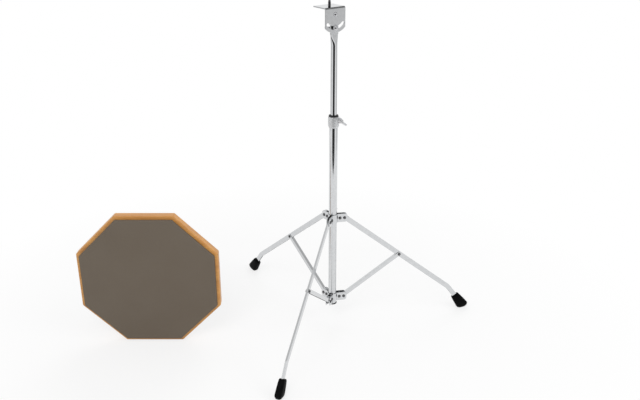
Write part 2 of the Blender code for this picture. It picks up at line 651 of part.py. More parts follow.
def add_tilt_fasteners(head):
    """Pivot bolt with its nut, and clamp bolt with its washer and wing nut. Heads face the front."""
    seat = PLATE_FRONT - FIT
    nut_seat = TONGUE_THICK / 2 + FIT
    shank = nut_seat + NUT_HEIGHT + TILT_BOLT_TAIL - seat
    pivot = bolt(TILT_BOLT_DIA, shank, TILT_HEAD_DIA, TILT_HEAD_HEIGHT)
    add_part("tilt_pivot_bolt", pivot, ZINC, (0, seat, 0), SPIN_TO_Y, head)
    add_nut("tilt_pivot_nut", TILT_BOLT_DIA, (0, nut_seat + NUT_HEIGHT, 0), SPIN_TO_Y, head)
    washer_profile = [(TILT_BOLT_DIA / 2 + FIT, WASHER_THICK), (WASHER_DIA / 2, WASHER_THICK)]
    washer_profile += [(WASHER_DIA / 2, 0), (TILT_BOLT_DIA / 2 + FIT, 0)]
    washer = turned(washer_profile, SMALL_SIDES)
    add_part("tilt_washer", washer, ZINC, (0, seat, -SLOT_RADIUS), SPIN_TO_Y, head)
    seat -= WASHER_THICK + FIT
    shank = nut_seat + WING_HUB_HEIGHT + TILT_BOLT_TAIL - seat
    clamp = bolt(TILT_BOLT_DIA, shank, TILT_HEAD_DIA, TILT_HEAD_HEIGHT)
    add_part("tilt_clamp_bolt", clamp, ZINC, (0, seat, -SLOT_RADIUS), SPIN_TO_Y, head)
    hub = WING_HUB_DIA / 2
    profile = [(0, WING_HUB_HEIGHT), (WING_NUT_TAPER * hub, WING_HUB_HEIGHT), (hub, 0), (0, 0)]
    place = (0, nut_seat, -SLOT_RADIUS)
    turn = (-math.pi / 2, 0, 0)
    nut = add_part("tilt_wing_nut", turned(profile, SMALL_SIDES), ZINC, place, turn, head)
    boolean(nut, wings(), "UNION")
    boolean(nut, rod(TILT_BOLT_DIA + 2 * FIT, 4 * WING_HUB_HEIGHT))


# Hubs
def hub_plan(gap):
    """Centre line of a hub plate from above: ear, bend, wrap round the tube, bend and ear, facing +X."""
    wrap = LOWER_TUBE_DIA / 2 + FIT + HUB_SHEET / 2
    offset = gap / 2 + HUB_SHEET / 2
    half_pitch = math.pi / LEG_COUNT
    leg = Vector((math.cos(half_pitch), math.sin(half_pitch)))
    side = Vector((leg.y, -leg.x))
    reach = math.sqrt((wrap + HUB_FILLET) ** 2 - (offset + HUB_FILLET) ** 2)
    centre = leg * reach + side * (offset + HUB_FILLET)
    meet = math.atan2(centre.y, centre.x)
    half = arc((0, 0), wrap, 0, meet, ARC_STEPS // 2)
    half += arc(centre, HUB_FILLET, meet + math.pi, half_pitch + math.pi / 2)[1:]
    half += [leg * (PIVOT_RADIUS + EAR_MARGIN) + side * offset]
    return [Vector((p.x, -p.y)) for p in reversed(half[1:])] + half


def hub_sheet(gap):
    """An upright open strip along the plate's centre line, with the corners of its ears rounded."""
    bm = bmesh.new()
    low = -HUB_HEIGHT / 2
    verts = [bm.verts.new((p.x, p.y, low)) for p in hub_plan(gap)]
    edges = [bm.edges.new(pair) for pair in zip(verts, verts[1:])]
    raised = bmesh.ops.extrude_edge_only(bm, edges=edges)["geom"]
    bmesh.ops.translate(
        bm, verts=[g for g in raised if isinstance(g, bmesh.types.BMVert)], vec=(0, 0, HUB_HEIGHT)
    )
    corners = [v for v in bm.verts if len(v.link_edges) == 2]
    bmesh.ops.bevel(
        bm, geom=corners, offset=EAR_CORNER, segments=ARC_STEPS, profile=0.5, affect="VERTICES"
    )
    made = bpy.data.meshes.new("hub_sheet")
    bm.to_mesh(made)
    bm.free()
    return made


def hub_holes(gap):
    """Rivet holes through both ears of a hub plate."""
    offset = gap / 2 + HUB_SHEET / 2
    drills = []
    for sign in (1, -1):
        ear = Matrix.Rotation(sign * math.pi / LEG_COUNT, 4, "Z")
        for radius in (PIVOT_RADIUS, HUB_RIVET_RADIUS):
            place = Matrix.Translation((radius, -sign * offset, 0)) @ Matrix.Rotation(math.pi / 2, 4, "X")
            drills.append(moved(rod(RIVET_DIA + 2 * FIT, 3 * HUB_SHEET, RIVET_SIDES), ear @ place))
    return joined(drills)


def add_hub(name, gap, parent):
    """Three bent plates round the tube and the rivets that hold them together. Gives the plates."""
    plates = []
    grip = gap + 2 * HUB_SHEET + 2 * FIT
    for i, angle in enumerate(LEG_ANGLES):
        turn = (0, 0, angle + math.pi / LEG_COUNT)
        piece = add_part(f"{name}_plate_{i + 1}", hub_sheet(gap), CHROME, rotation=turn, parent=parent)
        solid = piece.modifiers.new("Sheet", "SOLIDIFY")
        solid.thickness = HUB_SHEET
        solid.offset = 0
        solid.use_even_offset = True
        boolean(piece, hub_holes(gap))
        plates.append(piece)
        place = (HUB_RIVET_RADIUS * math.cos(angle), HUB_RIVET_RADIUS * math.sin(angle), 0)
        across = (math.pi / 2, 0, angle)
        add_part(f"{name}_rivet_{i + 1}", spaced_rivet(grip, gap), ZINC, place, across, parent)
    return plates


def add_hub_lock(hub, plates):
    """A threaded boss on the plate behind the tube, and the wing bolt that locks the sliding hub."""
    lay = Matrix.Rotation(math.pi / 2, 4, "Y")
    root = LOWER_TUBE_DIA / 2 + FIT + HUB_SHEET / 2
    boss = rod(HUB_BOSS_DIA, HUB_BOSS_REACH - root)
    boss = moved(boss, Matrix.Translation(((HUB_BOSS_REACH + root) / 2, 0, 0)) @ lay)
    back_plate = plates[0]
    boolean(back_plate, boss, "UNION")
    hole = rod(WING_SCREW_DIA + 2 * FIT, HUB_BOSS_REACH + OVERCUT)
    boolean(back_plate, moved(hole, Matrix.Translation(((HUB_BOSS_REACH + OVERCUT) / 2, 0, 0)) @ lay))
    seat = HUB_BOSS_REACH + FIT
    angle = LEG_ANGLES[0] + math.pi / LEG_COUNT
    place = (seat * math.cos(angle), seat * math.sin(angle), 0)
    turn = (Matrix.Rotation(angle, 4, "Z") @ lay).to_euler()
    add_wing_bolt("hub_wing_bolt", seat - LOWER_TUBE_DIA / 2 - FIT, place, turn, hub)


# Channel legs and struts, in the upright plane of a leg: x outwards, y up
def heading(angle):
    """Unit vectors along a line that falls outwards at this angle from upright, and square to it."""
    return Vector((math.sin(angle), -math.cos(angle))), Vector((math.cos(angle), math.sin(angle)))


def leg_line():
    """Stations (point, along, outwards) down the leg's pivot line, from hub to end, about the elbow."""
    along, out = heading(SPREAD)
    end_along, end_out = heading(LEG_END_ANGLE)
    bend_angle = SPREAD - LEG_END_ANGLE
    tangent = LEG_BEND * math.tan(bend_angle / 2)
    hub = -LEG_LINK * along
    corner = (LEG_STRAIGHT - LEG_LINK) * along
    stations = [(hub, along, out)]
    centre = corner - tangent * along - LEG_BEND * out
    for i in range(ARC_STEPS + 1):
        step_along, step_out = heading(SPREAD - bend_angle * i / ARC_STEPS)
        stations.append((centre + LEG_BEND * step_out, step_along, step_out))
    drop = (corner.y + ELBOW_HEIGHT) / math.cos(LEG_END_ANGLE)
    end = corner + (drop - BOOT_LENGTH + BOOT_SOCKET - FIT) * end_along
    stations.append((end, end_along, end_out))
    return stations


def strut_line():
    """Stations up the strut's pivot line, from the lower hub to the elbow, about the lower pivot.

    The strut opens outwards, so that the leg comes to lie in it when the stand is folded.
    """
    along = Vector((math.sin(STRUT_SPREAD), math.cos(STRUT_SPREAD)))
    inwards = Vector((-math.cos(STRUT_SPREAD), math.sin(STRUT_SPREAD)))
    return [(STRUT_LINK * share * along, along, inwards) for share in (0, 1)]


def round_end(station, web_side, open_side, first):
    """The half circle that ends a channel, round the first or the last station."""
    point, along, out = station
    centre = point + out * (web_side - open_side) / 2
    radius = (web_side + open_side) / 2
    turn = -1 if first else 1
    steps = 2 * ARC_STEPS
    angles = [math.pi * i / steps for i in range(steps + 1)]
    return [centre + radius * turn * (math.cos(a) * out + math.sin(a) * along) for a in angles]


def channel_outline(stations, web_side, open_side, both_round):
    web = [point + out * web_side for point, along, out in stations]
    rim = [point - out * open_side for point, along, out in stations]
    points = round_end(stations[0], web_side, open_side, True)[:-1] + web
    if both_round:
        points += round_end(stations[-1], web_side, open_side, False)[1:]
    return points + rim[:0:-1]


def channel_hollow(stations, web_side, open_side, sheet, both_round):
    """What is cut from between a channel's walls. The web stops short of a pivot."""
    inside = web_side - sheet
    above = web_side + OVERCUT
    below = open_side + OVERCUT
    first, along, out = stations[0]
    last, end_along, end_out = stations[-1]
    past = web_side + OVERCUT
    stop = first + along * WEB_SETBACK
    points = [first - along * past + out * above, stop + out * above, stop + out * inside]
    points += [point + normal * inside for point, heading_there, normal in stations[1:-1]]
    if both_round:
        stop = last - end_along * WEB_SETBACK
        points += [stop + end_out * inside, stop + end_out * above]
        points += [last + end_along * past + end_out * above]
    else:
        points += [last + end_along * past + end_out * inside]
    points += [last + end_along * past - end_out * below]
    points += [point - normal * below for point, heading_there, normal in reversed(stations[1:-1])]
    return points + [first - along * past - out * below]


def add_channel(name, stations, pivots, section, both_round, location, parent, rotation=(0, 0, 0)):
    """A channel along its stations. The section is (web side, open side, sheet, width)."""
    web_side, open_side, sheet, width = section
    holes = [circle(p, RIVET_DIA + 2 * FIT, RIVET_SIDES) for p in pivots]
    outline = channel_outline(stations, web_side, open_side, both_round)
    body = moved(plate([outline] + holes, width), SIDE_VIEW)
    obj = add_part(name, body, CHROME, location, rotation, parent)
    hollow = channel_hollow(stations, web_side, open_side, sheet, both_round)
    boolean(obj, moved(plate([hollow], width - 2 * sheet), SIDE_VIEW))
    return obj


def boot_ring(height, depth, width, tilt, drop=0.0):
    """A rounded section of the boot, tilted from square and moved down along its own normal."""
    points = []
    for i in range(BOOT_SIDES):
        turn = math.tau * i / BOOT_SIDES
        x = math.copysign(abs(math.cos(turn)) ** BOOT_CORNER, math.cos(turn)) * depth / 2
        y = math.copysign(abs(math.sin(turn)) ** BOOT_CORNER, math.sin(turn)) * width / 2
        across = x * math.cos(tilt) - drop * math.sin(tilt)
        points.append((across, y, height - x * math.sin(tilt) - drop * math.cos(tilt)))
    return points


def boot_form():
    """The boot's solid form along Z: a taper from its top to its widest section, and a domed end."""
    rings = [boot_ring(BOOT_LENGTH, BOOT_TOP_DEPTH, BOOT_TOP_WIDTH, BOOT_TOP_TILT)]
    rim = BOOT_LENGTH - BOOT_EASE
    for i in range(ARC_STEPS + 1):
        share = i / ARC_STEPS
        height = rim + (BOOT_WIDEST - rim) * share
        depth = BOOT_RIM_DEPTH + (BOOT_DEPTH - BOOT_RIM_DEPTH) * share
        width = BOOT_RIM_WIDTH + (BOOT_WIDTH - BOOT_RIM_WIDTH) * math.sqrt(share)
        tilt = BOOT_TOP_TILT + (BOOT_SOLE_TILT - BOOT_TOP_TILT) * share
        rings.append(boot_ring(height, depth, width, tilt))
    dome = BOOT_WIDEST * math.cos(LEG_END_ANGLE) + BOOT_FLAT
    for i in range(1, ARC_STEPS):
        turn = math.pi / 2 * i / ARC_STEPS
        share = math.cos(turn)
        drop = dome * math.sin(turn)
        rings.append(boot_ring(BOOT_WIDEST, BOOT_DEPTH * share, BOOT_WIDTH * share, BOOT_SOLE_TILT, drop))
    bm = bmesh.new()
    loops = [[bm.verts.new(point) for point in ring] for ring in rings]
    for upper, lower in zip(loops, loops[1:]):
        for i in range(BOOT_SIDES):
            after = (i + 1) % BOOT_SIDES
            bm.faces.new((upper[i], lower[i], lower[after], upper[after]))
    bm.faces.new(loops[0])
    bm.faces.new(loops[-1])
    return bm


def boot(stations):
    """A rubber boot on the leg's bent end, with a level sole on the floor, about the elbow."""
    end, along, out = stations[-1]
    middle = end + out * (LEG_WEB_SIDE - LEG_OPEN_SIDE) / 2
    top = (middle.y + ELBOW_HEIGHT) / math.cos(LEG_END_ANGLE)
    sole = middle + top * along
    place = Matrix.Translation((sole.x, 0, sole.y)) @ Matrix.Rotation(-LEG_END_ANGLE, 4, "Y")
    bm = boot_form()
    bmesh.ops.transform(bm, matrix=place, verts=bm.verts)
    everything = bm.verts[:] + bm.edges[:] + bm.faces[:]
    cut = bmesh.ops.bisect_plane(
        bm, geom=everything, plane_co=(0, 0, -ELBOW_HEIGHT), plane_no=(0, 0, -1), clear_outer=True
    )
    rim_edges = [g for g in cut["geom_cut"] if isinstance(g, bmesh.types.BMEdge)]
    bmesh.ops.edgeloop_fill(bm, edges=rim_edges)
    bmesh.ops.recalc_face_normals(bm, faces=bm.faces)
    mesh = bpy.data.meshes.new("boot")
    bm.to_mesh(mesh)
    bm.free()
    socket = block(
        (LEG_DEPTH + 2 * FIT, LEG_WIDTH + 2 * FIT, 2 * BOOT_SOCKET), (0, 0, BOOT_LENGTH)
    )
    return mesh, moved(socket, place)


def add_leg_set(number, angle, stand, hub):
    """A strut, the leg on its elbow, the leg's boot and the rivets of their three pivots."""
    spin = (0, 0, angle)
    radial = Vector((math.cos(angle), math.sin(angle), 0))
    foot_of_strut = radial * PIVOT_RADIUS + Vector((0, 0, LOWER_PIVOT_HEIGHT))
    pivots = [point for point, along, out in strut_line()]
    strut = add_channel(
        f"strut_{number}",
        strut_line(),
        pivots,
        (STRUT_WEB_SIDE, STRUT_OPEN_SIDE, STRUT_SHEET, STRUT_WIDTH),
        True,
        foot_of_strut,
        stand,
        spin,
    )
    elbow = (pivots[1].x, 0, pivots[1].y)
    line = leg_line()
    pivots = [Vector((0, 0)), line[0][0]]
    leg = add_channel(
        f"leg_{number}",
        line,
        pivots,
        (LEG_WEB_SIDE, LEG_OPEN_SIDE, LEG_SHEET, LEG_WIDTH),
        False,
        elbow,
        strut,
    )
    boot_mesh, socket = boot(line)
    boolean(add_part(f"foot_{number}", boot_mesh, RUBBER, parent=leg), socket)
    add_part(f"elbow_rivet_{number}", rivet(STRUT_WIDTH + 2 * FIT), ZINC, (0, 0, 0), SPIN_TO_Y, leg)
    across = (math.pi / 2, 0, angle)
    grip = STRUT_GAP + 2 * HUB_SHEET + 2 * FIT
    add_part(f"strut_rivet_{number}", rivet(grip), ZINC, foot_of_strut, across, stand)
    ear_face = LEG_GAP / 2 + HUB_SHEET + FIT
    sideways = Vector((-radial.y, radial.x, 0))
    for side, sign in (("left", 1), ("right", -1)):
        place = radial * PIVOT_RADIUS + sideways * sign * ear_face
        turn = (-sign * math.pi / 2, 0, angle)
        stub = stub_rivet(HUB_SHEET + FIT)
        add_part(f"leg_rivet_{number}_{side}", stub, ZINC, place, turn, hub)


def build():
    stand = axis_empty("stand_axis", (STAND_X, STAND_Y, 0))
    add_pad()
    add_lower_tube(stand)
    bush = add_clutch(stand)
    head = axis_empty("mast_head", (0, 0, TILT_PIVOT_HEIGHT), (0, 0, HEAD_TURN), bush)
    add_upper_tube(head)
    tilt = axis_empty("tilt_axis", parent=head)
    add_bracket(tilt)
    add_tilt_fasteners(head)
    lower = axis_empty("lower_hub", (0, 0, LOWER_PIVOT_HEIGHT), parent=stand)
    add_hub("lower_hub", STRUT_GAP, lower)
    upper = axis_empty("upper_hub_slide", (0, 0, UPPER_PIVOT_HEIGHT), parent=stand)
    add_hub_lock(upper, add_hub("upper_hub", LEG_GAP, upper))
    for i, angle in enumerate(LEG_ANGLES):
        add_leg_set(i + 1, angle, stand, upper)


build()
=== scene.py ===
# %% [markdown]
# # A practice pad and its folding stand
# The real object is an octagonal board with a rubber playing face, and a chromed tripod that carries it.
# The CAD model already gives every piece its place and size, so it is loaded first and never moved.
# This lesson then gives each piece its eased edges, threads and finish, and sets up a small studio.

import json
import math

import bmesh
import bpy
from mathutils import Matrix, Vector

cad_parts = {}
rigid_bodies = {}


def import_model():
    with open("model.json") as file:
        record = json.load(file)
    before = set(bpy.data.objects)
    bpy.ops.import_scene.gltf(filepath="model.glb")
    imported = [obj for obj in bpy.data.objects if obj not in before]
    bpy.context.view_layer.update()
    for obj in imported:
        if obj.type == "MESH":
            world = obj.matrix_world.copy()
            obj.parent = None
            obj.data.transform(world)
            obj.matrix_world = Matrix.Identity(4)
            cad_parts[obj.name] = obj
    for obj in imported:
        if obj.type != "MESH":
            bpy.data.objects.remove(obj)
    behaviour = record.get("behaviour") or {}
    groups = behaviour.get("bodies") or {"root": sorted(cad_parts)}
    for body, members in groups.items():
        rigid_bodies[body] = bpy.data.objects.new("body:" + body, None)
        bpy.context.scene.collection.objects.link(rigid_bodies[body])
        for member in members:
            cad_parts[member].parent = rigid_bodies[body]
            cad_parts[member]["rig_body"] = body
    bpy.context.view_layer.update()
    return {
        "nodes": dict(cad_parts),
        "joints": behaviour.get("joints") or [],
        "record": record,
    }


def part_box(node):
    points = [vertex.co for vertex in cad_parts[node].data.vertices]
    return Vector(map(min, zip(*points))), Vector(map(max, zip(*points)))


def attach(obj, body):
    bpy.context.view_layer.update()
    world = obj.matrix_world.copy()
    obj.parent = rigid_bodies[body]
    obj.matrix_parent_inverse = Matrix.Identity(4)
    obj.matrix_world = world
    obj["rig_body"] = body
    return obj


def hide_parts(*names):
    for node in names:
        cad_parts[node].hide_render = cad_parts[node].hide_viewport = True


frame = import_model()
nodes = frame["nodes"]
joints = {joint["name"]: joint for joint in frame["joints"]}
slot_of = {part["node"]: part["material_slot"] for part in frame["record"]["subparts"]}
MM = 0.001

# %% [markdown]
# ## The camera
# The photograph looks down on the stand from a little above its bracket. A camera can be placed by eye,
# or worked out from points whose places are known. Here the places of the hubs and feet gave the numbers,
# so the stand lands on the same pixels as in the photograph.

# %% Set the camera
STAND_X, STAND_Y = joints["mast_swivel"]["pos_m"][:2]
CAMERA_FROM_STAND = Vector((-0.0286, -1.5601, 0.9724))
CAMERA_PITCH = math.radians(23.19)
LENS_MM = 43.28
SENSOR_MM = 36.0

camera = bpy.data.objects.new("camera", bpy.data.cameras.new("camera"))
camera.data.sensor_width = SENSOR_MM
camera.data.lens = LENS_MM
camera.location = Vector((STAND_X, STAND_Y, 0)) + CAMERA_FROM_STAND
camera.rotation_euler = (math.pi / 2 - CAMERA_PITCH, 0, 0)
bpy.context.scene.collection.objects.link(camera)
bpy.context.scene.camera = camera
print("camera at", [round(c, 3) for c in camera.location])

# %% [markdown]
# ## Helpers for shader nodes
# The floor, the room and every finish are drawn with shader nodes. Wiring them by hand takes many lines,
# so a few small helpers do it, and each finish below then reads as a list of decisions.

# %% Define the node helpers
def emptied(owner):
    """The node tree of a material or a world, with nothing in it."""
    owner.use_nodes = True
    owner.node_tree.nodes.clear()
    return owner.node_tree


def add(tree, kind, **sockets):
    """Adds a node. A socket, with _ for each space in its name, takes a value or another node's output."""
    made = tree.nodes.new(f"ShaderNode{kind}")
    for name, value in sockets.items():
        socket = made.inputs[name.replace("_", " ")]
        if isinstance(value, bpy.types.NodeSocket):
            tree.links.new(value, socket)
        else:
            socket.default_value = value
    return made


def ramp(tree, value, stops):
    """A colour ramp. Each stop is a place with a colour or a grey level. A new ramp has two already."""
    made = add(tree, "ValToRGB", Fac=value)
    marks = made.color_ramp.elements
    for i, (place, colour) in enumerate(stops):
        mark = marks[i] if i < 2 else marks.new(place)
        mark.position = place
        mark.color = (*colour, 1.0) if isinstance(colour, tuple) else (colour, colour, colour, 1.0)
    return made.outputs["Color"]


def between(tree, share, first, second):
    """A mix of two shaders. A share of 0 is all of the first."""
    mix = tree.nodes.new("ShaderNodeMixShader")
    for source, socket in zip((share, first, second), mix.inputs):
        tree.links.new(source, socket)
    return mix.outputs["Shader"]


def seen_directly(tree):
    """1 for rays from the camera and for those that a mirror or glass sends on, 0 for others."""
    rays = add(tree, "LightPath")
    total = rays.outputs["Is Camera Ray"]
    for kind in ("Is Glossy Ray", "Is Transmission Ray"):
        both = add(tree, "Math")
        both.use_clamp = True
        tree.links.new(total, both.inputs[0])
        tree.links.new(rays.outputs[kind], both.inputs[1])
        total = both.outputs["Value"]
    return rays, total


print("node helpers ready")

# %% [markdown]
# ## The studio floor
# The set stands on white paper. A plane with a white diffuse finish catches soft shadows. For rays from
# the camera and from mirrors, part of the finish glows at a strength of 1, which is white, so the paper
# looks white without more light on the object. The glow grows with the distance, so no edge shows. The
# paper ends a little in front of the stand, because the tubes mirror what lies beyond it.

# %% Make the floor
FLOOR_FRONT = -0.935
FLOOR_BACK = 1.2
FLOOR_HALF_WIDTH = 1.3
GLOW_NEAR, GLOW_FAR = 0.72, 1.0
FADE_FROM, FADE_TO = 0.45, 0.9
PAPER_WHITE = (0.88, 0.88, 0.88, 1.0)

sheet = bmesh.new()
floor_size = Matrix.Diagonal((FLOOR_HALF_WIDTH, (FLOOR_BACK - FLOOR_FRONT) / 2, 1, 1))
floor_place = Matrix.Translation((0, (FLOOR_BACK + FLOOR_FRONT) / 2, 0)) @ floor_size
bmesh.ops.create_grid(sheet, x_segments=1, y_segments=1, size=1.0, matrix=floor_place)
floor = bpy.data.objects.new("floor", bpy.data.meshes.new("floor"))
sheet.to_mesh(floor.data)
sheet.free()
bpy.context.scene.collection.objects.link(floor)

paper = bpy.data.materials.new("white_paper")
tree = emptied(paper)
place = add(tree, "TexCoord")
distance = add(tree, "VectorMath", Vector=place.outputs["Object"])
distance.operation = "LENGTH"
fade = add(
    tree, "MapRange", Value=distance.outputs["Value"], From_Min=FADE_FROM, From_Max=FADE_TO,
    To_Min=GLOW_NEAR, To_Max=GLOW_FAR,
)
matt = add(tree, "BsdfDiffuse", Color=PAPER_WHITE).outputs["BSDF"]
glow = add(tree, "Emission").outputs["Emission"]
white = between(tree, fade.outputs["Result"], matt, glow)
add(tree, "OutputMaterial", Surface=between(tree, seen_directly(tree)[1], matt, white))
floor.data.materials.append(paper)
print("floor from y =", FLOOR_FRONT, "to", FLOOR_BACK)

# %% [markdown]
# ## The room around it
# Chrome has no colour of its own: it shows the room. The photograph's upright tubes have a dark line down
# their middle, which is the unlit room behind the camera, pale strips beside it, which are soft lights at
# the sides, and grey edges. A colour ramp from the room's front to its back gives all three. The sloping
# legs and struts mirror what is above eye level, and a second ramp there sets their greys.

# %% Make the walls
DARK_FRONT = ((0.0, 0.03), (0.09, 0.04), (0.12, 1.0))
BELOW_EYE = (*DARK_FRONT, (0.42, 1.0), (0.5, 0.64), (1.0, 0.64))
ABOVE_EYE = (*DARK_FRONT, (0.26, 0.95), (0.36, 0.66), (0.45, 0.8), (0.58, 0.55), (0.66, 0.6), (0.85, 0.95))
EYE_FROM, EYE_TO = -0.24, -0.19

world = bpy.data.worlds.new("studio")
bpy.context.scene.world = world
tree = emptied(world)
ways = add(tree, "TexCoord").outputs["Generated"]
way = add(tree, "SeparateXYZ", Vector=ways)
depth = add(tree, "MapRange", Value=way.outputs["Y"], From_Min=-1.0).outputs["Result"]
rise = add(tree, "MapRange", Value=way.outputs["Z"], From_Min=EYE_FROM, From_Max=EYE_TO).outputs["Result"]
low_room = add(tree, "Background", Color=ramp(tree, depth, BELOW_EYE)).outputs["Background"]
high_room = add(tree, "Background", Color=ramp(tree, depth, ABOVE_EYE)).outputs["Background"]
walls = between(tree, rise, low_room, high_room)
print("walls made, with", len(BELOW_EYE), "levels below the eye and", len(ABOVE_EYE), "above it")

# %% [markdown]
# ## The ceiling
# A rounded fold mirrors a whole arc of the ceiling in one thin line. That line is dark along the bracket's
# fold in the photograph, so the ceiling has a dark strip between its soft lights, along the arc that the
# fold mirrors. A round lamp breaks the strip, because one strut mirrors that place and is pale.

# %% Make the dark strip in the ceiling
STRIP_GREY = (0.03, 0.03, 0.03, 1.0)
STRIP_ACROSS = (0.8, 0.6, 0.0)
STRIP_STOPS = ((0.476, 0.0), (0.516, 1.0), (0.696, 1.0), (0.736, 0.0))
STRIP_FROM, STRIP_TO = 0.35, 0.45
ROUND_LAMP_WAY = Vector((0.581, 0.168, 0.795)).normalized()
ROUND_LAMP_EDGE = math.cos(math.radians(10.5))
ROUND_LAMP_CORE = math.cos(math.radians(7.5))


def along(tree, ways, axis):
    """How far each direction points along an axis, from -1 to 1."""
    dot = add(tree, "VectorMath")
    dot.operation = "DOT_PRODUCT"
    tree.links.new(ways, dot.inputs[0])
    dot.inputs[1].default_value = axis
    return dot.outputs["Value"]


strip = ramp(tree, along(tree, ways, STRIP_ACROSS), STRIP_STOPS)
broken = add(
    tree, "MapRange", Value=along(tree, ways, ROUND_LAMP_WAY), From_Min=ROUND_LAMP_EDGE,
    From_Max=ROUND_LAMP_CORE, To_Min=strip, To_Max=0.0,
).outputs["Result"]
overhead = add(
    tree, "MapRange", Value=way.outputs["Z"], From_Min=STRIP_FROM, From_Max=STRIP_TO, To_Max=broken,
).outputs["Result"]
dark = add(tree, "Background", Color=STRIP_GREY).outputs["Background"]
room = between(tree, overhead, walls, dark)
print("dark strip in the ceiling, across", STRIP_ACROSS)

# %% [markdown]
# ## What each ray sees
# Only mirrors see this room. Matt surfaces are lit by an even pale one, so that a colour renders about as
# it is written, and the camera sees plain white.

# %% Join up the room
ROOM_LIGHT = 0.62
WHITE = (1.0, 1.0, 1.0, 1.0)

matt_room = add(tree, "Background", Color=WHITE, Strength=ROOM_LIGHT).outputs["Background"]
white = add(tree, "Background", Color=WHITE).outputs["Background"]
rays, seen = seen_directly(tree)
mirrored = between(tree, seen, matt_room, room)
add(tree, "OutputWorld", Surface=between(tree, rays.outputs["Is Camera Ray"], mirrored, white))
bpy.context.scene.view_settings.view_transform = "Standard"
print("room lit at", ROOM_LIGHT, "of white")

# %% [markdown]
# ## The lamps
# Large soft lamps in front, at the side and behind shape the pad and the rubber feet. Area lamps are used
# because a large lamp gives soft shadows, as a studio's light boxes do. Mirrors don't see them, because a
# leg that mirrored a lamp would vanish against the white floor. They see only the room.

# %% Place the lamps
LAMPS = (
    ("key_lamp", (-0.6, -1.9, 2.3), 1.3, 26.0),
    ("fill_lamp", (1.9, -1.0, 1.7), 1.2, 12.0),
    ("back_lamp", (0.4, 1.9, 1.9), 1.4, 14.0),
)
LAMP_TARGET = Vector((0, 0, 0.3))

for name, place, size, watts in LAMPS:
    lamp = bpy.data.objects.new(name, bpy.data.lights.new(name, "AREA"))
    lamp.data.size = size
    lamp.data.energy = watts
    lamp.visible_glossy = False
    lamp.location = place
    lamp.rotation_euler = (LAMP_TARGET - lamp.location).to_track_quat("-Z", "Y").to_euler()
    bpy.context.scene.collection.objects.link(lamp)
print(len(LAMPS), "lamps")

# %% [markdown]
# ## Helpers for finishes
# Every finish starts from the Principled shader. Its patterns read Object coordinates, which are metres
# here, so a noise scale of 1000 means grains of about a millimetre, the same on every piece.

# %% Define the finish helpers
NOISE_LOW, NOISE_HIGH = 0.3, 0.7
finishes = {}


def new_finish(name, colour, roughness, metallic=0.0):
    """A new material. Gives its node tree and its Principled shader."""
    made = bpy.data.materials.new(name)
    made.use_nodes = True
    shader = made.node_tree.nodes["Principled BSDF"]
    shader.inputs["Base Color"].default_value = (*colour, 1.0)
    shader.inputs["Roughness"].default_value = roughness
    shader.inputs["Metallic"].default_value = metallic
    finishes[name] = made
    return made.node_tree, shader


def spots(tree, scale, detail=4.0, stretch=(1, 1, 1)):
    """Soft random spots, about scale of them to a metre, drawn out by stretch."""
    place = add(tree, "TexCoord").outputs["Object"]
    drawn = add(tree, "Mapping", Vector=place, Scale=stretch).outputs["Vector"]
    return add(tree, "TexNoise", Vector=drawn, Scale=scale, Detail=detail).outputs["Fac"]


def two_tone(tree, value, dark, pale):
    """Spreads a noise's middle range over the colours from dark to pale."""
    return ramp(tree, value, ((NOISE_LOW, dark), (NOISE_HIGH, pale)))


def levels(tree, value, low, high):
    """Spreads a noise's middle range over the values from low to high."""
    return add(
        tree, "MapRange", Value=value, From_Min=NOISE_LOW, From_Max=NOISE_HIGH, To_Min=low, To_Max=high,
    ).outputs["Result"]


def relief(tree, shader, height, depth, strength):
    """Raises the surface by a pattern, depth metres from its lowest to its highest."""
    bump = add(tree, "Bump", Height=height, Distance=depth, Strength=strength)
    tree.links.new(bump.outputs["Normal"], shader.inputs["Normal"])


def darkened(tree, first, second, share):
    """Two colours multiplied together, the second by a share."""
    mix = add(tree, "Mix")
    mix.data_type = "RGBA"
    mix.blend_type = "MULTIPLY"
    mix.inputs["Factor"].default_value = share
    tree.links.new(first, mix.inputs["A"])
    tree.links.new(second, mix.inputs["B"])
    return mix.outputs["Result"]


print("finish helpers ready")

# %% [markdown]
# ## Chrome, zinc, cast metal and dark steel
# Chrome plate is a mirror, but a used or wiped one has a faint haze and small rub marks. Those are changes
# of roughness more than of colour, so noise drives the roughness. It sends back about two thirds of the
# light. Zinc plate on the bolts and wings is duller and a little cloudy, so its colour varies too.

# %% Make the plated finishes
tree, shader = new_finish("chrome", colour=(0.65, 0.66, 0.67), roughness=0.07, metallic=1.0)
haze = spots(tree, scale=28.0, detail=5.0)
tree.links.new(levels(tree, haze, low=0.045, high=0.11), shader.inputs["Roughness"])
rubbed = spots(tree, scale=160.0, detail=3.0)
wiped = two_tone(tree, rubbed, dark=(0.62, 0.63, 0.64), pale=(0.68, 0.69, 0.70))
tree.links.new(wiped, shader.inputs["Base Color"])

tree, shader = new_finish("zinc_plated_steel", colour=(0.64, 0.65, 0.67), roughness=0.24, metallic=1.0)
cloud = spots(tree, scale=240.0, detail=5.0)
bluish = two_tone(tree, cloud, dark=(0.56, 0.57, 0.60), pale=(0.70, 0.70, 0.70))
tree.links.new(bluish, shader.inputs["Base Color"])
tree.links.new(levels(tree, cloud, low=0.18, high=0.32), shader.inputs["Roughness"])
relief(tree, shader, spots(tree, scale=2600.0, detail=2.0), depth=0.02 * MM, strength=0.4)
print("chrome and zinc made")

# %% [markdown]
# The clutch's collar is a casting. Its satin skin is rough enough to blur the room into one pale grey. The
# rivets and the stud are oiled steel, which is dark and only half shiny.

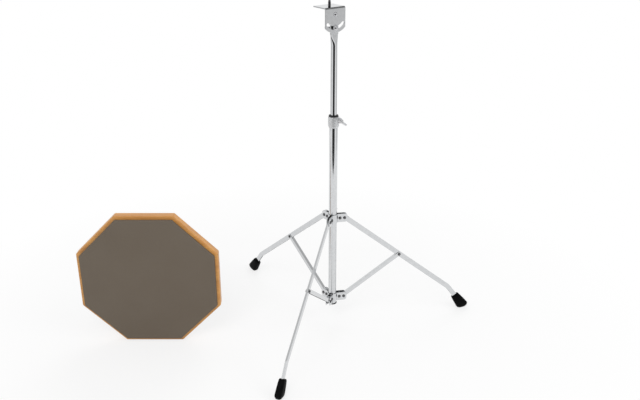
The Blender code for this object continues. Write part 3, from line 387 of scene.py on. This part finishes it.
# %% Make the cast and oiled finishes
tree, shader = new_finish("satin_cast", colour=(0.78, 0.79, 0.80), roughness=0.6, metallic=1.0)
cast = spots(tree, scale=700.0, detail=4.0)
pale_cast = two_tone(tree, cast, dark=(0.74, 0.75, 0.76), pale=(0.82, 0.83, 0.84))
tree.links.new(pale_cast, shader.inputs["Base Color"])
tree.links.new(levels(tree, cast, low=0.55, high=0.65), shader.inputs["Roughness"])
relief(tree, shader, spots(tree, scale=3000.0, detail=2.0), depth=0.02 * MM, strength=0.4)

tree, shader = new_finish("oiled_steel", colour=(0.16, 0.16, 0.17), roughness=0.35, metallic=1.0)
oiled = spots(tree, scale=400.0, detail=4.0)
blackened = two_tone(tree, oiled, dark=(0.10, 0.10, 0.105), pale=(0.22, 0.22, 0.225))
tree.links.new(blackened, shader.inputs["Base Color"])
tree.links.new(levels(tree, oiled, low=0.28, high=0.45), shader.inputs["Roughness"])
print("cast metal and oiled steel made")

# %% [markdown]
# ## Rubbers and nylon
# Four dark materials differ mostly in their skin. The playing face is taupe gum rubber with a fine matt
# grain that gives the stick some grip. The feet are moulded rubber, almost black, with a faint shine where
# they are handled. The clutch's bush is moulded nylon. The sheet on the back is studded, and comes last.

# %% Make the rubber and nylon finishes
tree, shader = new_finish("gum_rubber", colour=(0.141, 0.113, 0.084), roughness=0.72)
broad_stops = ((0.25, (0.134, 0.106, 0.078)), (0.75, (0.148, 0.120, 0.090)))
broad = ramp(tree, spots(tree, scale=5.0, detail=3.0), broad_stops)
speck = ramp(tree, spots(tree, scale=1300.0, detail=2.0), ((0.3, 0.80), (0.6, 1.0)))
tree.links.new(darkened(tree, broad, speck, share=0.7), shader.inputs["Base Color"])
tree.links.new(levels(tree, spots(tree, scale=14.0), low=0.66, high=0.78), shader.inputs["Roughness"])
relief(tree, shader, spots(tree, scale=1300.0, detail=3.0), depth=0.12 * MM, strength=0.5)

tree, shader = new_finish("black_rubber", colour=(0.003, 0.003, 0.0032), roughness=0.5)
shader.inputs["Specular IOR Level"].default_value = 0.04
scuff = spots(tree, scale=90.0, detail=5.0)
dusty = ramp(tree, scuff, ((0.4, (0.0022, 0.0022, 0.0024)), (0.75, (0.006, 0.006, 0.0062))))
tree.links.new(dusty, shader.inputs["Base Color"])
tree.links.new(levels(tree, scuff, low=0.4, high=0.6), shader.inputs["Roughness"])
relief(tree, shader, spots(tree, scale=1500.0, detail=2.0), depth=0.05 * MM, strength=0.5)

tree, shader = new_finish("black_nylon", colour=(0.012, 0.012, 0.013), roughness=0.42)
shader.inputs["Specular IOR Level"].default_value = 0.35
moulded = two_tone(
    tree, spots(tree, scale=300.0), dark=(0.010, 0.010, 0.011), pale=(0.016, 0.016, 0.017),
)
tree.links.new(moulded, shader.inputs["Base Color"])
tree.links.new(levels(tree, spots(tree, scale=120.0), low=0.34, high=0.5), shader.inputs["Roughness"])
relief(tree, shader, spots(tree, scale=2200.0, detail=2.0), depth=0.03 * MM, strength=0.5)
print("rubbers and nylon made")

# %% [markdown]
# The sheet on the back has rows of small studs that keep the pad from slipping. Each could be modelled, but
# there are thousands, half a millimetre high, so a regular lattice in the finish raises them instead.

# %% Make the studded sheet's finish
STUDS_PER_METRE = 260.0
LATTICE_TURN = (0, math.radians(45), 0)

tree, shader = new_finish("grip_rubber", colour=(0.03, 0.03, 0.031), roughness=0.7)
place = add(tree, "TexCoord").outputs["Object"]
turned = add(tree, "Mapping", Vector=place, Rotation=LATTICE_TURN).outputs["Vector"]
lattice = add(tree, "TexVoronoi", Vector=turned, Scale=STUDS_PER_METRE, Randomness=0.0).outputs["Distance"]
# Painted shade: the lattice darkens the gaps between the studs and leaves the stud tops paler.
painted_stud_shade = ramp(tree, lattice, ((0.25, (0.042, 0.042, 0.043)), (0.55, (0.017, 0.017, 0.018))))
dust = two_tone(tree, spots(tree, scale=40.0), dark=0.75, pale=1.0)
tree.links.new(darkened(tree, painted_stud_shade, dust, share=1.0), shader.inputs["Base Color"])
relief(tree, shader, lattice, depth=-0.5 * MM, strength=0.7)
print("studded rubber made, with", STUDS_PER_METRE, "studs to the metre")

# %% [markdown]
# ## Sealed wood
# The board shows as an orange-tan rim. Wood is drawn out along its grain, so its noise is stretched: broad
# bands for the growth rings and fine short lines for the pores. The varnish is a thin clear coat.

# %% Make the wood finish
BAND_STRETCH = (5, 70, 70)
PORE_STRETCH = (60, 1400, 1400)
PALE_BAND = (0.72, 0.38, 0.11)
MIDDLE_BAND = (0.63, 0.30, 0.078)
DARK_BAND = (0.52, 0.23, 0.052)

tree, shader = new_finish("sealed_wood", colour=MIDDLE_BAND, roughness=0.45)
shader.inputs["Coat Weight"].default_value = 0.2
shader.inputs["Coat Roughness"].default_value = 0.28
bands = spots(tree, scale=1.0, detail=5.0, stretch=BAND_STRETCH)
grain = ramp(tree, bands, ((0.3, DARK_BAND), (0.5, MIDDLE_BAND), (0.72, PALE_BAND)))
pores = spots(tree, scale=1.0, detail=2.0, stretch=PORE_STRETCH)
dark_pores = ramp(tree, pores, ((0.32, (0.72, 0.62, 0.5)), (0.46, 1.0)))
tree.links.new(darkened(tree, grain, dark_pores, share=0.75), shader.inputs["Base Color"])
tree.links.new(levels(tree, bands, low=0.38, high=0.52), shader.inputs["Roughness"])
relief(tree, shader, pores, depth=0.06 * MM, strength=0.4)
print("wood made; finishes:", sorted(finishes))

# %% [markdown]
# ## Helpers for shapes
# Round pieces come from one outline spun about an axis, as on a lathe. Every sharp edge then gets a small
# bevel, because a real edge is never razor sharp and it is the bevel that catches the light. Bent sheet
# pieces start from a merged copy of their CAD shape, which already has the right folds and holes.

# %% Define the shape helpers
MERGE = 0.002 * MM
FLAT = math.radians(0.5)
SHARP = math.radians(38)
LATHE_STEPS = 48
SMALL_STEPS = 32
EASE_SEGMENTS = 3
ROUND_SEGMENTS = 5
FINE_SEGMENTS = 2


def lathe(outline, steps=LATHE_STEPS):
    """Spins (radius, height) points, listed down the outer side, about Z into a closed form."""
    bm = bmesh.new()
    verts = [bm.verts.new((radius, 0, height)) for radius, height in outline]
    edges = [bm.edges.new(pair) for pair in zip(verts, verts[1:])]
    if outline[0][0] > 0:
        edges.append(bm.edges.new((verts[-1], verts[0])))
    bmesh.ops.spin(
        bm, geom=verts + edges, cent=(0, 0, 0), axis=(0, 0, 1), angle=math.tau, steps=steps, use_merge=True
    )
    bmesh.ops.remove_doubles(bm, verts=bm.verts[:], dist=MERGE)
    bmesh.ops.recalc_face_normals(bm, faces=bm.faces[:])
    return bm


def sharp_edges(bm):
    """Edges between two faces that meet at more than a slight angle."""
    return [edge for edge in bm.edges if len(edge.link_faces) == 2 and edge.calc_face_angle(0) > SHARP]


def bevelled(bm, edges, width, segments):
    """Rounds some edges off by this width."""
    bmesh.ops.bevel(
        bm, geom=edges, offset=width, offset_type="OFFSET", segments=segments, profile=0.5,
        affect="EDGES", clamp_overlap=True, material=-1,
    )
    return bm


def eased(bm, width, segments=EASE_SEGMENTS):
    """Bevels every sharp edge."""
    return bevelled(bm, sharp_edges(bm), width, segments)


def cad_copy(node, flat=FLAT):
    """A node's shape as a mesh to work on, its triangles joined up into flat faces."""
    bm = bmesh.new()
    bm.from_mesh(nodes[node].data)
    bmesh.ops.remove_doubles(bm, verts=bm.verts[:], dist=MERGE)
    bmesh.ops.dissolve_limit(bm, angle_limit=flat, verts=bm.verts[:], edges=bm.edges[:])
    return bm


def gathered(shapes):
    """Several shapes in one mesh."""
    bm = bmesh.new()
    for shape in shapes:
        mesh = bpy.data.meshes.new("shape")
        shape.to_mesh(mesh)
        shape.free()
        bm.from_mesh(mesh)
        bpy.data.meshes.remove(mesh)
    return bm


print("shape helpers ready")

# %% [markdown]
# ## Putting a piece in place
# A piece takes its body, its finish and its place from the CAD node that it stands for. Round pieces are
# made upright at the origin and then moved to a frame that is measured on the node: its origin is at the
# node's low end, and its Z runs along the piece's own axis. Weighted normals keep large faces flat beside
# their bevels, so that long tubes mirror the room without a false gradient.

# %% Define the placing helpers
UP = Vector((0, 0, 1))


def axes_at(origin, z, x):
    """A frame with this origin and Z, and with X as near as it can be to x."""
    z = Vector(z).normalized()
    y = z.cross(Vector(x)).normalized()
    x = y.cross(z)
    return Matrix.Translation(origin) @ Matrix((x, y, z)).transposed().to_4x4()


def standing_on(node, axis, x=None):
    """The frame at a node's low end along axis, and the node's length along it."""
    axis = Vector(axis).normalized()
    reach = [v.co.dot(axis) for v in nodes[node].data.vertices]
    low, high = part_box(node)
    middle = (low + high) / 2
    origin = middle + axis * (min(reach) - middle.dot(axis))
    return axes_at(origin, axis, x or axis.orthogonal()), max(reach) - min(reach)


def dress(node, bm, place=None, finish=None):
    """Makes the finished piece that stands for a CAD node."""
    if place:
        bm.transform(place)
    mesh = bpy.data.meshes.new(f"{node}_piece")
    bm.to_mesh(mesh)
    bm.free()
    mesh.shade_smooth()
    mesh.set_sharp_from_angle(angle=SHARP)
    mesh.materials.append(finishes[finish or slot_of[node]])
    piece = bpy.data.objects.new(f"{node}_piece", mesh)
    bpy.context.scene.collection.objects.link(piece)
    even = piece.modifiers.new("even_shading", "WEIGHTED_NORMAL")
    even.keep_sharp = True
    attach(piece, nodes[node]["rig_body"])
    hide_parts(node)
    return piece


for node, obj in nodes.items():
    obj.data.materials.clear()
    obj.data.materials.append(finishes[slot_of[node]])
print("placing helpers ready")

# %% [markdown]
# ## The board, its rubber face and its back
# The pad is a sandwich: rubber glued to a wooden board, with a studded sheet on the back and a threaded
# insert in the middle. A board with a hole could be cut with a Boolean. Filling between two rings of edges
# and extruding them keeps the mesh clean instead. The sandwich is made lying down and stood on its edge.

# %% Define a flat board with a round hole in its underside
HOLE_STEPS = 32


def ring(bm, sides, radius, height, turn=0.0):
    """The edges of a level ring of straight sides."""
    place = Matrix.Translation((0, 0, height)) @ Matrix.Rotation(turn, 4, "Z")
    made = bmesh.ops.create_circle(bm, cap_ends=False, segments=sides, radius=radius, matrix=place)
    return list({edge for vert in made["verts"] for edge in vert.link_edges})


def raised(bm, edges, height):
    """Walls up from a ring of edges. Gives the ring at their top."""
    made = bmesh.ops.extrude_edge_only(bm, edges=edges)["geom"]
    verts = [g for g in made if isinstance(g, bmesh.types.BMVert)]
    bmesh.ops.translate(bm, verts=verts, vec=(0, 0, height))
    return [e for e in bm.edges if e.verts[0] in verts and e.verts[1] in verts]


def board(sides, flats, bottom, top, hole_dia, hole_top):
    """A flat prism. Its hole is blind if it stops below the top."""
    bm = bmesh.new()
    edge = ring(bm, sides, flats / 2 / math.cos(math.pi / sides), bottom, math.pi / sides)
    hole = ring(bm, HOLE_STEPS, hole_dia / 2, bottom)
    bmesh.ops.triangle_fill(bm, use_beauty=True, edges=edge + hole, normal=(0, 0, -1))
    upper_edge = raised(bm, edge, top - bottom)
    upper_hole = raised(bm, hole, hole_top - bottom)
    if hole_top < top:
        bmesh.ops.edgeloop_fill(bm, edges=upper_edge)
        bmesh.ops.edgeloop_fill(bm, edges=upper_hole)
    else:
        bmesh.ops.triangle_fill(bm, use_beauty=True, edges=upper_edge + upper_hole, normal=(0, 0, 1))
    bmesh.ops.recalc_face_normals(bm, faces=bm.faces[:])
    return bm


print("board helper ready")

# %% [markdown]
# The board's hole is blind and takes the insert. The sheet's hole goes right through, to leave room for the
# insert's flange. Both sizes follow the CAD model, and the board is a hair smaller than its CAD box.

# %% Make the board and the sheet on its back
PAD_SIDES = 8
BOARD_SLACK = 0.05 * MM
BOARD_THICK = 19.0 * MM
BOARD_EASE = 2.0 * MM
BASE_FLATS = 287.0 * MM
BASE_THICK = 2.5 * MM
BASE_EASE = 0.5 * MM
GLUE = 0.3 * MM
SOCKET_DIA = 11.6 * MM
SOCKET_DEPTH = 15.3 * MM
FLANGE_HOLE_DIA = 22.6 * MM

low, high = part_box("pad_core")
pad_flats = high.z - low.z - BOARD_SLACK
pad_place = Matrix.Translation((low + high) / 2) @ Matrix.Rotation(math.pi / 2, 4, "X")
back = -BOARD_THICK / 2
front = BOARD_THICK / 2
core = board(PAD_SIDES, pad_flats, back, front, SOCKET_DIA, back + SOCKET_DEPTH)
dress("pad_core", eased(core, BOARD_EASE, ROUND_SEGMENTS), pad_place)
base_top = back - GLUE
grip = board(PAD_SIDES, BASE_FLATS, base_top - BASE_THICK, base_top, FLANGE_HOLE_DIA, base_top)
dress("pad_base", eased(grip, BASE_EASE, FINE_SEGMENTS), pad_place)
print("board", round(pad_flats / MM, 1), "mm across flats,", round(BOARD_THICK / MM, 1), "mm thick")

# %% [markdown]
# The playing face is a thick rubber sheet, glued on and set in from the board's edge. It has no hole, so
# one filled ring is enough: it is extruded to its thickness and its rim is rounded.

# %% Make the rubber face
FACE_FLATS = 291.0 * MM
FACE_THICK = 6.5 * MM
FACE_EASE = 1.8 * MM

face = bmesh.new()
corner = FACE_FLATS / 2 / math.cos(math.pi / PAD_SIDES)
turn = Matrix.Translation((0, 0, front + GLUE)) @ Matrix.Rotation(math.pi / PAD_SIDES, 4, "Z")
bmesh.ops.create_circle(face, cap_ends=True, segments=PAD_SIDES, radius=corner, matrix=turn)
lifted = bmesh.ops.extrude_face_region(face, geom=face.faces[:], use_keep_orig=True)["geom"]
top_verts = [g for g in lifted if isinstance(g, bmesh.types.BMVert)]
bmesh.ops.translate(face, verts=top_verts, vec=(0, 0, FACE_THICK))
bmesh.ops.recalc_face_normals(face, faces=face.faces[:])
dress("pad_face", eased(face, FACE_EASE, ROUND_SEGMENTS), pad_place)
print("rubber face", round(FACE_FLATS / MM, 1), "mm across flats")

# %% [markdown]
# ## Screw threads
# A thread is a V-shaped ridge that climbs as it goes round. Spin with a small lift at every step makes
# exactly that. The ridge's root sits just inside a plain core, so the two read as one screw.

# %% Define a threaded rod
THREAD_STEPS = 24
RIDGE_HALF = 0.45
RIDGE_ROOT = 0.1


def thread(radius, core, pitch, bottom, top):
    """A V-shaped ridge that winds up round a core."""
    bm = bmesh.new()
    half = RIDGE_HALF * pitch
    inside = core - RIDGE_ROOT * pitch
    corners = ((inside, 0, bottom), (radius, 0, bottom + half), (inside, 0, bottom + 2 * half))
    verts = [bm.verts.new(corner) for corner in corners]
    start = [bm.edges.new((verts[i], verts[i - 1])) for i in range(len(verts))]
    turns = (top - bottom - 2 * half) / pitch
    steps = round(turns * THREAD_STEPS)
    spun = bmesh.ops.spin(
        bm, geom=verts + start, cent=(0, 0, 0), axis=(0, 0, 1), angle=turns * math.tau, steps=steps,
        dvec=(0, 0, turns * pitch / steps),
    )
    end = [g for g in spun["geom_last"] if isinstance(g, bmesh.types.BMEdge)]
    bmesh.ops.contextual_create(bm, geom=start)
    bmesh.ops.contextual_create(bm, geom=end)
    bmesh.ops.recalc_face_normals(bm, faces=bm.faces[:])
    return bm


print("thread helper ready")

# %% [markdown]
# The stud is a plain screw with a tapered tip that finds the hole in the pad's back. A lathe makes its
# core, and the thread winds round it up to the taper.

# %% Make the stud
STUD_PITCH = 1.27 * MM
STUD_RADIUS = 6.35 * MM / 2
STUD_CORE = 4.9 * MM / 2
STUD_TIP = 4.2 * MM / 2
TIP_LENGTH = 2.6 * MM
STUD_EASE = 0.3 * MM
THREAD_START = 0.2 * MM

place, length = standing_on("pad_stud", UP)
neck = length - TIP_LENGTH
shank = lathe([(0, length), (STUD_TIP, length), (STUD_CORE, neck), (STUD_CORE, 0), (0, 0)], SMALL_STEPS)
ridge = thread(STUD_RADIUS, STUD_CORE, STUD_PITCH, THREAD_START, neck)
dress("pad_stud", gathered([eased(shank, STUD_EASE, FINE_SEGMENTS), ridge]), place, "oiled_steel")
print("stud", round(length / MM, 1), "mm long")

# %% [markdown]
# The insert is the matching nut in the pad's back. Its thread shows only as lines in a dark hole, so
# grooves in the lathe's outline stand for it, and nothing has to wind.

# %% Make the insert that the stud screws into
INSERT_BORE = 6.95 * MM / 2
INSERT_BARREL = 11.0 * MM / 2
INSERT_FLANGE = 22.0 * MM / 2
FLANGE_THICK = 1.6 * MM
GROOVE = 0.5 * MM

place, length = standing_on("pad_insert", (0, -1, 0))
outline = [(INSERT_BORE, length), (INSERT_BARREL, length), (INSERT_BARREL, FLANGE_THICK)]
outline += [(INSERT_FLANGE, FLANGE_THICK), (INSERT_FLANGE, 0), (INSERT_BORE, 0)]
for i in range(1, int(length / STUD_PITCH)):
    height = i * STUD_PITCH
    outline += [(INSERT_BORE, height), (INSERT_BORE + GROOVE, height + STUD_PITCH / 2)]
dress("pad_insert", lathe(outline), place)
print("insert", round(length / MM, 1), "mm deep")

# %% [markdown]
# ## The mast
# The mast is two tubes, one inside the other, with a clutch between them. Tubes are the simplest lathe
# work: four points and a bevel on the ends. The plug that closes the lower end is turned too.

# %% Make the lower tube and its plug
LOWER_TUBE_RADIUS = 18.0 * MM / 2
TUBE_WALL = 1.2 * MM
TUBE_STEPS = 64
TUBE_EASE = 0.4 * MM
PLUG_FLANGE = 20.6 * MM / 2
PLUG_FLANGE_THICK = 2.0 * MM
PLUG_EASE = 0.6 * MM

place, length = standing_on("lower_tube", UP)
inner = LOWER_TUBE_RADIUS - TUBE_WALL
outline = [(inner, length), (LOWER_TUBE_RADIUS, length), (LOWER_TUBE_RADIUS, 0), (inner, 0)]
dress("lower_tube", eased(lathe(outline, TUBE_STEPS), TUBE_EASE), place)
print("lower tube", round(length / MM, 1), "mm long")

place, length = standing_on("tube_end_plug", UP)
stem = inner - GLUE
outline = [(0, length), (stem, length), (stem, PLUG_FLANGE_THICK), (PLUG_FLANGE, PLUG_FLANGE_THICK)]
outline += [(PLUG_FLANGE, 0), (0, 0)]
dress("tube_end_plug", eased(lathe(outline), PLUG_EASE), place)
print("plug", round(length / MM, 1), "mm long")

# %% [markdown]
# The clutch is a cast collar with a boss for its screw, and a nylon bush that the screw presses against the
# upper tube. The bush is turned. The boss and the tube's flattened top can't be spun, so those two pieces
# come from their CAD shapes.

# %% Make the clutch's bush, its collar and the upper tube
BUSH_INNER = 14.1 * MM / 2
BUSH_SLEEVE = 18.0 * MM / 2
BUSH_FLANGE = 20.6 * MM / 2
BUSH_FLANGE_THICK = 2.6 * MM
BUSH_EASE = 0.7 * MM
COLLAR_EASE = 0.5 * MM
UPPER_TUBE_EASE = 0.3 * MM

place, length = standing_on("clutch_bush", UP)
step = length - BUSH_FLANGE_THICK
outline = [(BUSH_INNER, length), (BUSH_FLANGE, length), (BUSH_FLANGE, step), (BUSH_SLEEVE, step)]
outline += [(BUSH_SLEEVE, 0), (BUSH_INNER, 0)]
dress("clutch_bush", eased(lathe(outline, TUBE_STEPS), BUSH_EASE), place)
dress("clutch_collar", eased(cad_copy("clutch_collar"), COLLAR_EASE), finish="satin_cast")
dress("upper_tube", eased(cad_copy("upper_tube"), UPPER_TUBE_EASE))
print("bush, collar and upper tube made")

# %% [markdown]
# ## Wing bolts and the wing nut
# A wing is thick at the hub and thin at its round tip. The hull of a block at the root and a disc at the
# tip has just that shape, and a generous bevel makes it look cast. Hub and screw are turned, and the screw
# is threaded.

# %% Define the wings
WING_HUB = 10.0 * MM / 2
WING_HUB_HEIGHT = 8.0 * MM
WING_TIP = 8.0 * MM / 2
WING_OUT = 11.0 * MM
WING_UP = 9.0 * MM
WING_TIP_THICK = 2.0 * MM
WING_ROOT = Vector((2.0, 3.6, 6.4)) * MM
WING_EASE = 0.7 * MM


def wing(side):
    """One wing, on the side of X that side gives as 1 or -1."""
    bm = bmesh.new()
    tip = Matrix.Translation((side * WING_OUT, 0, WING_UP)) @ Matrix.Rotation(math.pi / 2, 4, "X")
    bmesh.ops.create_cone(
        bm, cap_ends=True, segments=SMALL_STEPS, radius1=WING_TIP, radius2=WING_TIP, depth=WING_TIP_THICK,
        matrix=tip,
    )
    root = Matrix.Translation((side * (WING_HUB - WING_ROOT.x), 0, WING_HUB_HEIGHT / 2))
    bmesh.ops.create_cube(bm, size=1.0, matrix=root @ Matrix.Diagonal((*WING_ROOT, 1)))
    bmesh.ops.delete(bm, geom=bm.faces[:] + bm.edges[:], context="EDGES_FACES")
    hull = bmesh.ops.convex_hull(bm, input=bm.verts[:])
    inside = [g for g in hull["geom_interior"] if isinstance(g, bmesh.types.BMVert)]
    bmesh.ops.delete(bm, geom=inside, context="VERTS")
    bmesh.ops.dissolve_limit(bm, angle_limit=FLAT, verts=bm.verts[:], edges=bm.edges[:])
    bmesh.ops.recalc_face_normals(bm, faces=bm.faces[:])
    return eased(bm, WING_EASE)


print("wing helper ready")

# %% [markdown]
# A wing bolt is a hub, two wings and a screw. One loop makes both bolts, because only their places, the
# lengths of their screws and the turn of their wings differ.

# %% Make the two wing bolts
SCREW_RADIUS = 6.0 * MM / 2
SCREW_CORE = 4.8 * MM / 2
SCREW_PITCH = 1.0 * MM
HUB_CROWN = 0.8
HUB_EASE = 0.5 * MM
WING_TURNS = {"clutch_wing_bolt": math.radians(45), "hub_wing_bolt": 0.0}

for node, turn in WING_TURNS.items():
    joint = joints[f"{node}_turn"]
    place = axes_at(joint["pos_m"], joint["axis"], -UP) @ Matrix.Rotation(turn, 4, "Z")
    shank = standing_on(node, joint["axis"])[1] - WING_UP - WING_TIP
    outline = [(0, WING_HUB_HEIGHT), (HUB_CROWN * WING_HUB, WING_HUB_HEIGHT), (WING_HUB, 0)]
    outline += [(SCREW_CORE, 0), (SCREW_CORE, -shank), (0, -shank)]
    hub = eased(lathe(outline, SMALL_STEPS), HUB_EASE)
    ridge = thread(SCREW_RADIUS, SCREW_CORE, SCREW_PITCH, -shank, -THREAD_START)
    dress(node, gathered([hub, wing(1), wing(-1), ridge]), place)
    print(node, "with", round(shank / MM, 1), "mm of screw")

# %% [markdown]
# ## The tilting head
# A bent bracket turns on a pivot bolt, and a second bolt clamps it through the curved slot. The bracket
# keeps its CAD shape. The bolts are turned, with rounded heads. A driver slot would be too fine to see, so
# they stay plain.

# %% Make the bracket and its bolts
HEAD_RADIUS = 10.0 * MM / 2
HEAD_HEIGHT = 3.6 * MM
HEAD_CURVE = ((0.0, 1.0), (0.5, 0.88), (0.85, 0.45), (1.0, 0.0))
TAIL = 7.0 * MM
TAIL_THREAD_START = 0.1 * MM
BOLT_EASE = 0.3 * MM
BRACKET_EASE = 0.45 * MM

front_way = Vector(joints["bracket_tilt"]["axis"])
dress("tilt_bracket", eased(cad_copy("tilt_bracket"), BRACKET_EASE))

for node in ("tilt_pivot_bolt", "tilt_clamp_bolt"):
    place, length = standing_on(node, front_way)
    seat = length - HEAD_HEIGHT
    outline = [(out * HEAD_RADIUS, seat + rise * HEAD_HEIGHT) for out, rise in HEAD_CURVE]
    outline += [(SCREW_RADIUS, seat), (SCREW_RADIUS, TAIL), (SCREW_CORE, TAIL), (SCREW_CORE, 0), (0, 0)]
    bolt = eased(lathe(outline, SMALL_STEPS), BOLT_EASE)
    ridge = thread(SCREW_RADIUS, SCREW_CORE, SCREW_PITCH, TAIL_THREAD_START, TAIL)
    dress(node, gathered([bolt, ridge]), place)
    print(node, round(length / MM, 1), "mm long")

# %% [markdown]
# Nuts and washers are stock pieces. The helper for boards gives the six-sided nuts, and four points on the
# lathe give the washer.

# %% Make the nuts and the washer
NUT_SIDES = 6
NUT_FLATS = 10.0 * MM
NUT_EASE = 0.6 * MM
NUT_BORE_DIA = 6.6 * MM
STUD_NUT_BORE_DIA = 6.95 * MM
WASHER_RADIUS = 6.5 * MM
WASHER_EASE = 0.25 * MM

for node, axis, flat_way, bore in (
    ("tilt_pivot_nut", front_way, UP, NUT_BORE_DIA),
    ("stud_nut", UP, front_way, STUD_NUT_BORE_DIA),
):
    place, length = standing_on(node, axis, flat_way)
    dress(node, eased(board(NUT_SIDES, NUT_FLATS, 0, length, bore, length), NUT_EASE), place)

place, length = standing_on("tilt_washer", front_way)
hole = NUT_BORE_DIA / 2
washer = lathe([(hole, length), (WASHER_RADIUS, length), (WASHER_RADIUS, 0), (hole, 0)])
dress("tilt_washer", eased(washer, WASHER_EASE), place)
print("nuts and washer made")

# %% [markdown]
# The wing nut behind the bracket has the same wings, on a hub with a hole instead of a screw.

# %% Make the wing nut
NUT_CROWN = 0.9
NUT_HUB_EASE = 0.3 * MM

joint = joints["tilt_wing_nut_turn"]
place = axes_at(joint["pos_m"], joint["axis"], front_way.cross(UP))
outline = [(hole, WING_HUB_HEIGHT), (NUT_CROWN * WING_HUB, WING_HUB_HEIGHT), (WING_HUB, 0), (hole, 0)]
nut = eased(lathe(outline, SMALL_STEPS), NUT_HUB_EASE)
dress("tilt_wing_nut", gathered([nut, wing(1), wing(-1)]), place)
print("wing nut made")

# %% [markdown]
# ## Legs, struts and hub plates
# Legs and struts are folded from sheet into channels, so their long outer corners are round and their cut
# edges are nearly sharp. Folding them again from flat would only repeat the CAD work. A copy of each CAD
# shape gets a wide bevel on its folds instead, which are the sharp edges between two broad faces, and a
# fine one on the rest. The hub plates are pressed with soft edges all round.

# %% Round the pressed pieces
FOLD_RADIUS = 1.7 * MM
FOLD_SEGMENTS = 4
FOLD_BROAD = 2.0 * MM
CUT_EASE = 0.25 * MM
PLATE_EASE = 0.45 * MM
LEG_NUMBERS = (1, 2, 3)


def folds(bm):
    """The outer corners of a folded sheet: sharp edges between two broad faces."""
    outer = [edge for edge in sharp_edges(bm) if edge.is_convex]
    return [e for e in outer if min(f.calc_area() for f in e.link_faces) > FOLD_BROAD * e.calc_length()]


for number in LEG_NUMBERS:
    for node in (f"leg_{number}", f"strut_{number}"):
        channel = cad_copy(node)
        corners = folds(channel)
        print(node, "has", len(corners), "edges on its folds")
        bevelled(channel, corners, FOLD_RADIUS, FOLD_SEGMENTS)
        dress(node, eased(channel, CUT_EASE, FINE_SEGMENTS))
    for node in (f"upper_hub_plate_{number}", f"lower_hub_plate_{number}"):
        dress(node, eased(cad_copy(node), PLATE_EASE))

# %% [markdown]
# ## Rivets
# Each pivot is a rivet with domed heads. A dome is a quarter circle spun about the rivet's axis. The rivets
# in the upper hub are short ones, one in each ear, because the leg's end fills the space between them.

# %% Make the rivets
RIVET_SHANK = 4.0 * MM / 2
RIVET_HEAD = 7.2 * MM / 2
RIVET_RISE = 1.8 * MM
DOME_STEPS = 6


def dome(seat, way):
    """Points of a rivet's head from its crown to its rim."""
    turns = [math.pi / 2 * i / DOME_STEPS for i in range(DOME_STEPS + 1)]
    return [(RIVET_HEAD * math.sin(t), seat + way * RIVET_RISE * math.cos(t)) for t in turns]


def rivet(length, heads):
    """A rivet up Z, with one head at its top or two."""
    seat = length - RIVET_RISE
    outline = dome(seat, 1) + [(RIVET_SHANK, seat)]
    if heads == 1:
        return lathe(outline + [(RIVET_SHANK, 0), (0, 0)], SMALL_STEPS)
    return lathe(outline + [(RIVET_SHANK, RIVET_RISE)] + dome(RIVET_RISE, -1)[::-1], SMALL_STEPS)


for number in LEG_NUMBERS:
    across = Vector(joints[f"leg_{number}_fold"]["axis"])
    for start in ("elbow_rivet_", "strut_rivet_", "upper_hub_rivet_", "lower_hub_rivet_"):
        place, length = standing_on(f"{start}{number}", across)
        dress(f"{start}{number}", rivet(length, 2), place, "oiled_steel")
    for side, way in (("left", 1), ("right", -1)):
        place, length = standing_on(f"leg_rivet_{number}_{side}", way * across)
        dress(f"leg_rivet_{number}_{side}", rivet(length, 1), place, "oiled_steel")
print("rivets made")

# %% [markdown]
# ## Rubber feet
# Each leg ends in a moulded boot: a socket that grips the leg, sides that swell towards the floor, and a
# domed sole with a flat where it stands. The CAD boot is a loft through all of those sections, so its copy
# keeps them, and only the mould's rims are rounded.

# %% Make the feet
BOOT_EASE = 0.7 * MM
BOOT_FLAT = math.radians(0.05)

for number in LEG_NUMBERS:
    boot = cad_copy(f"foot_{number}", BOOT_FLAT)
    dress(f"foot_{number}", eased(boot, BOOT_EASE))
print("three feet made")
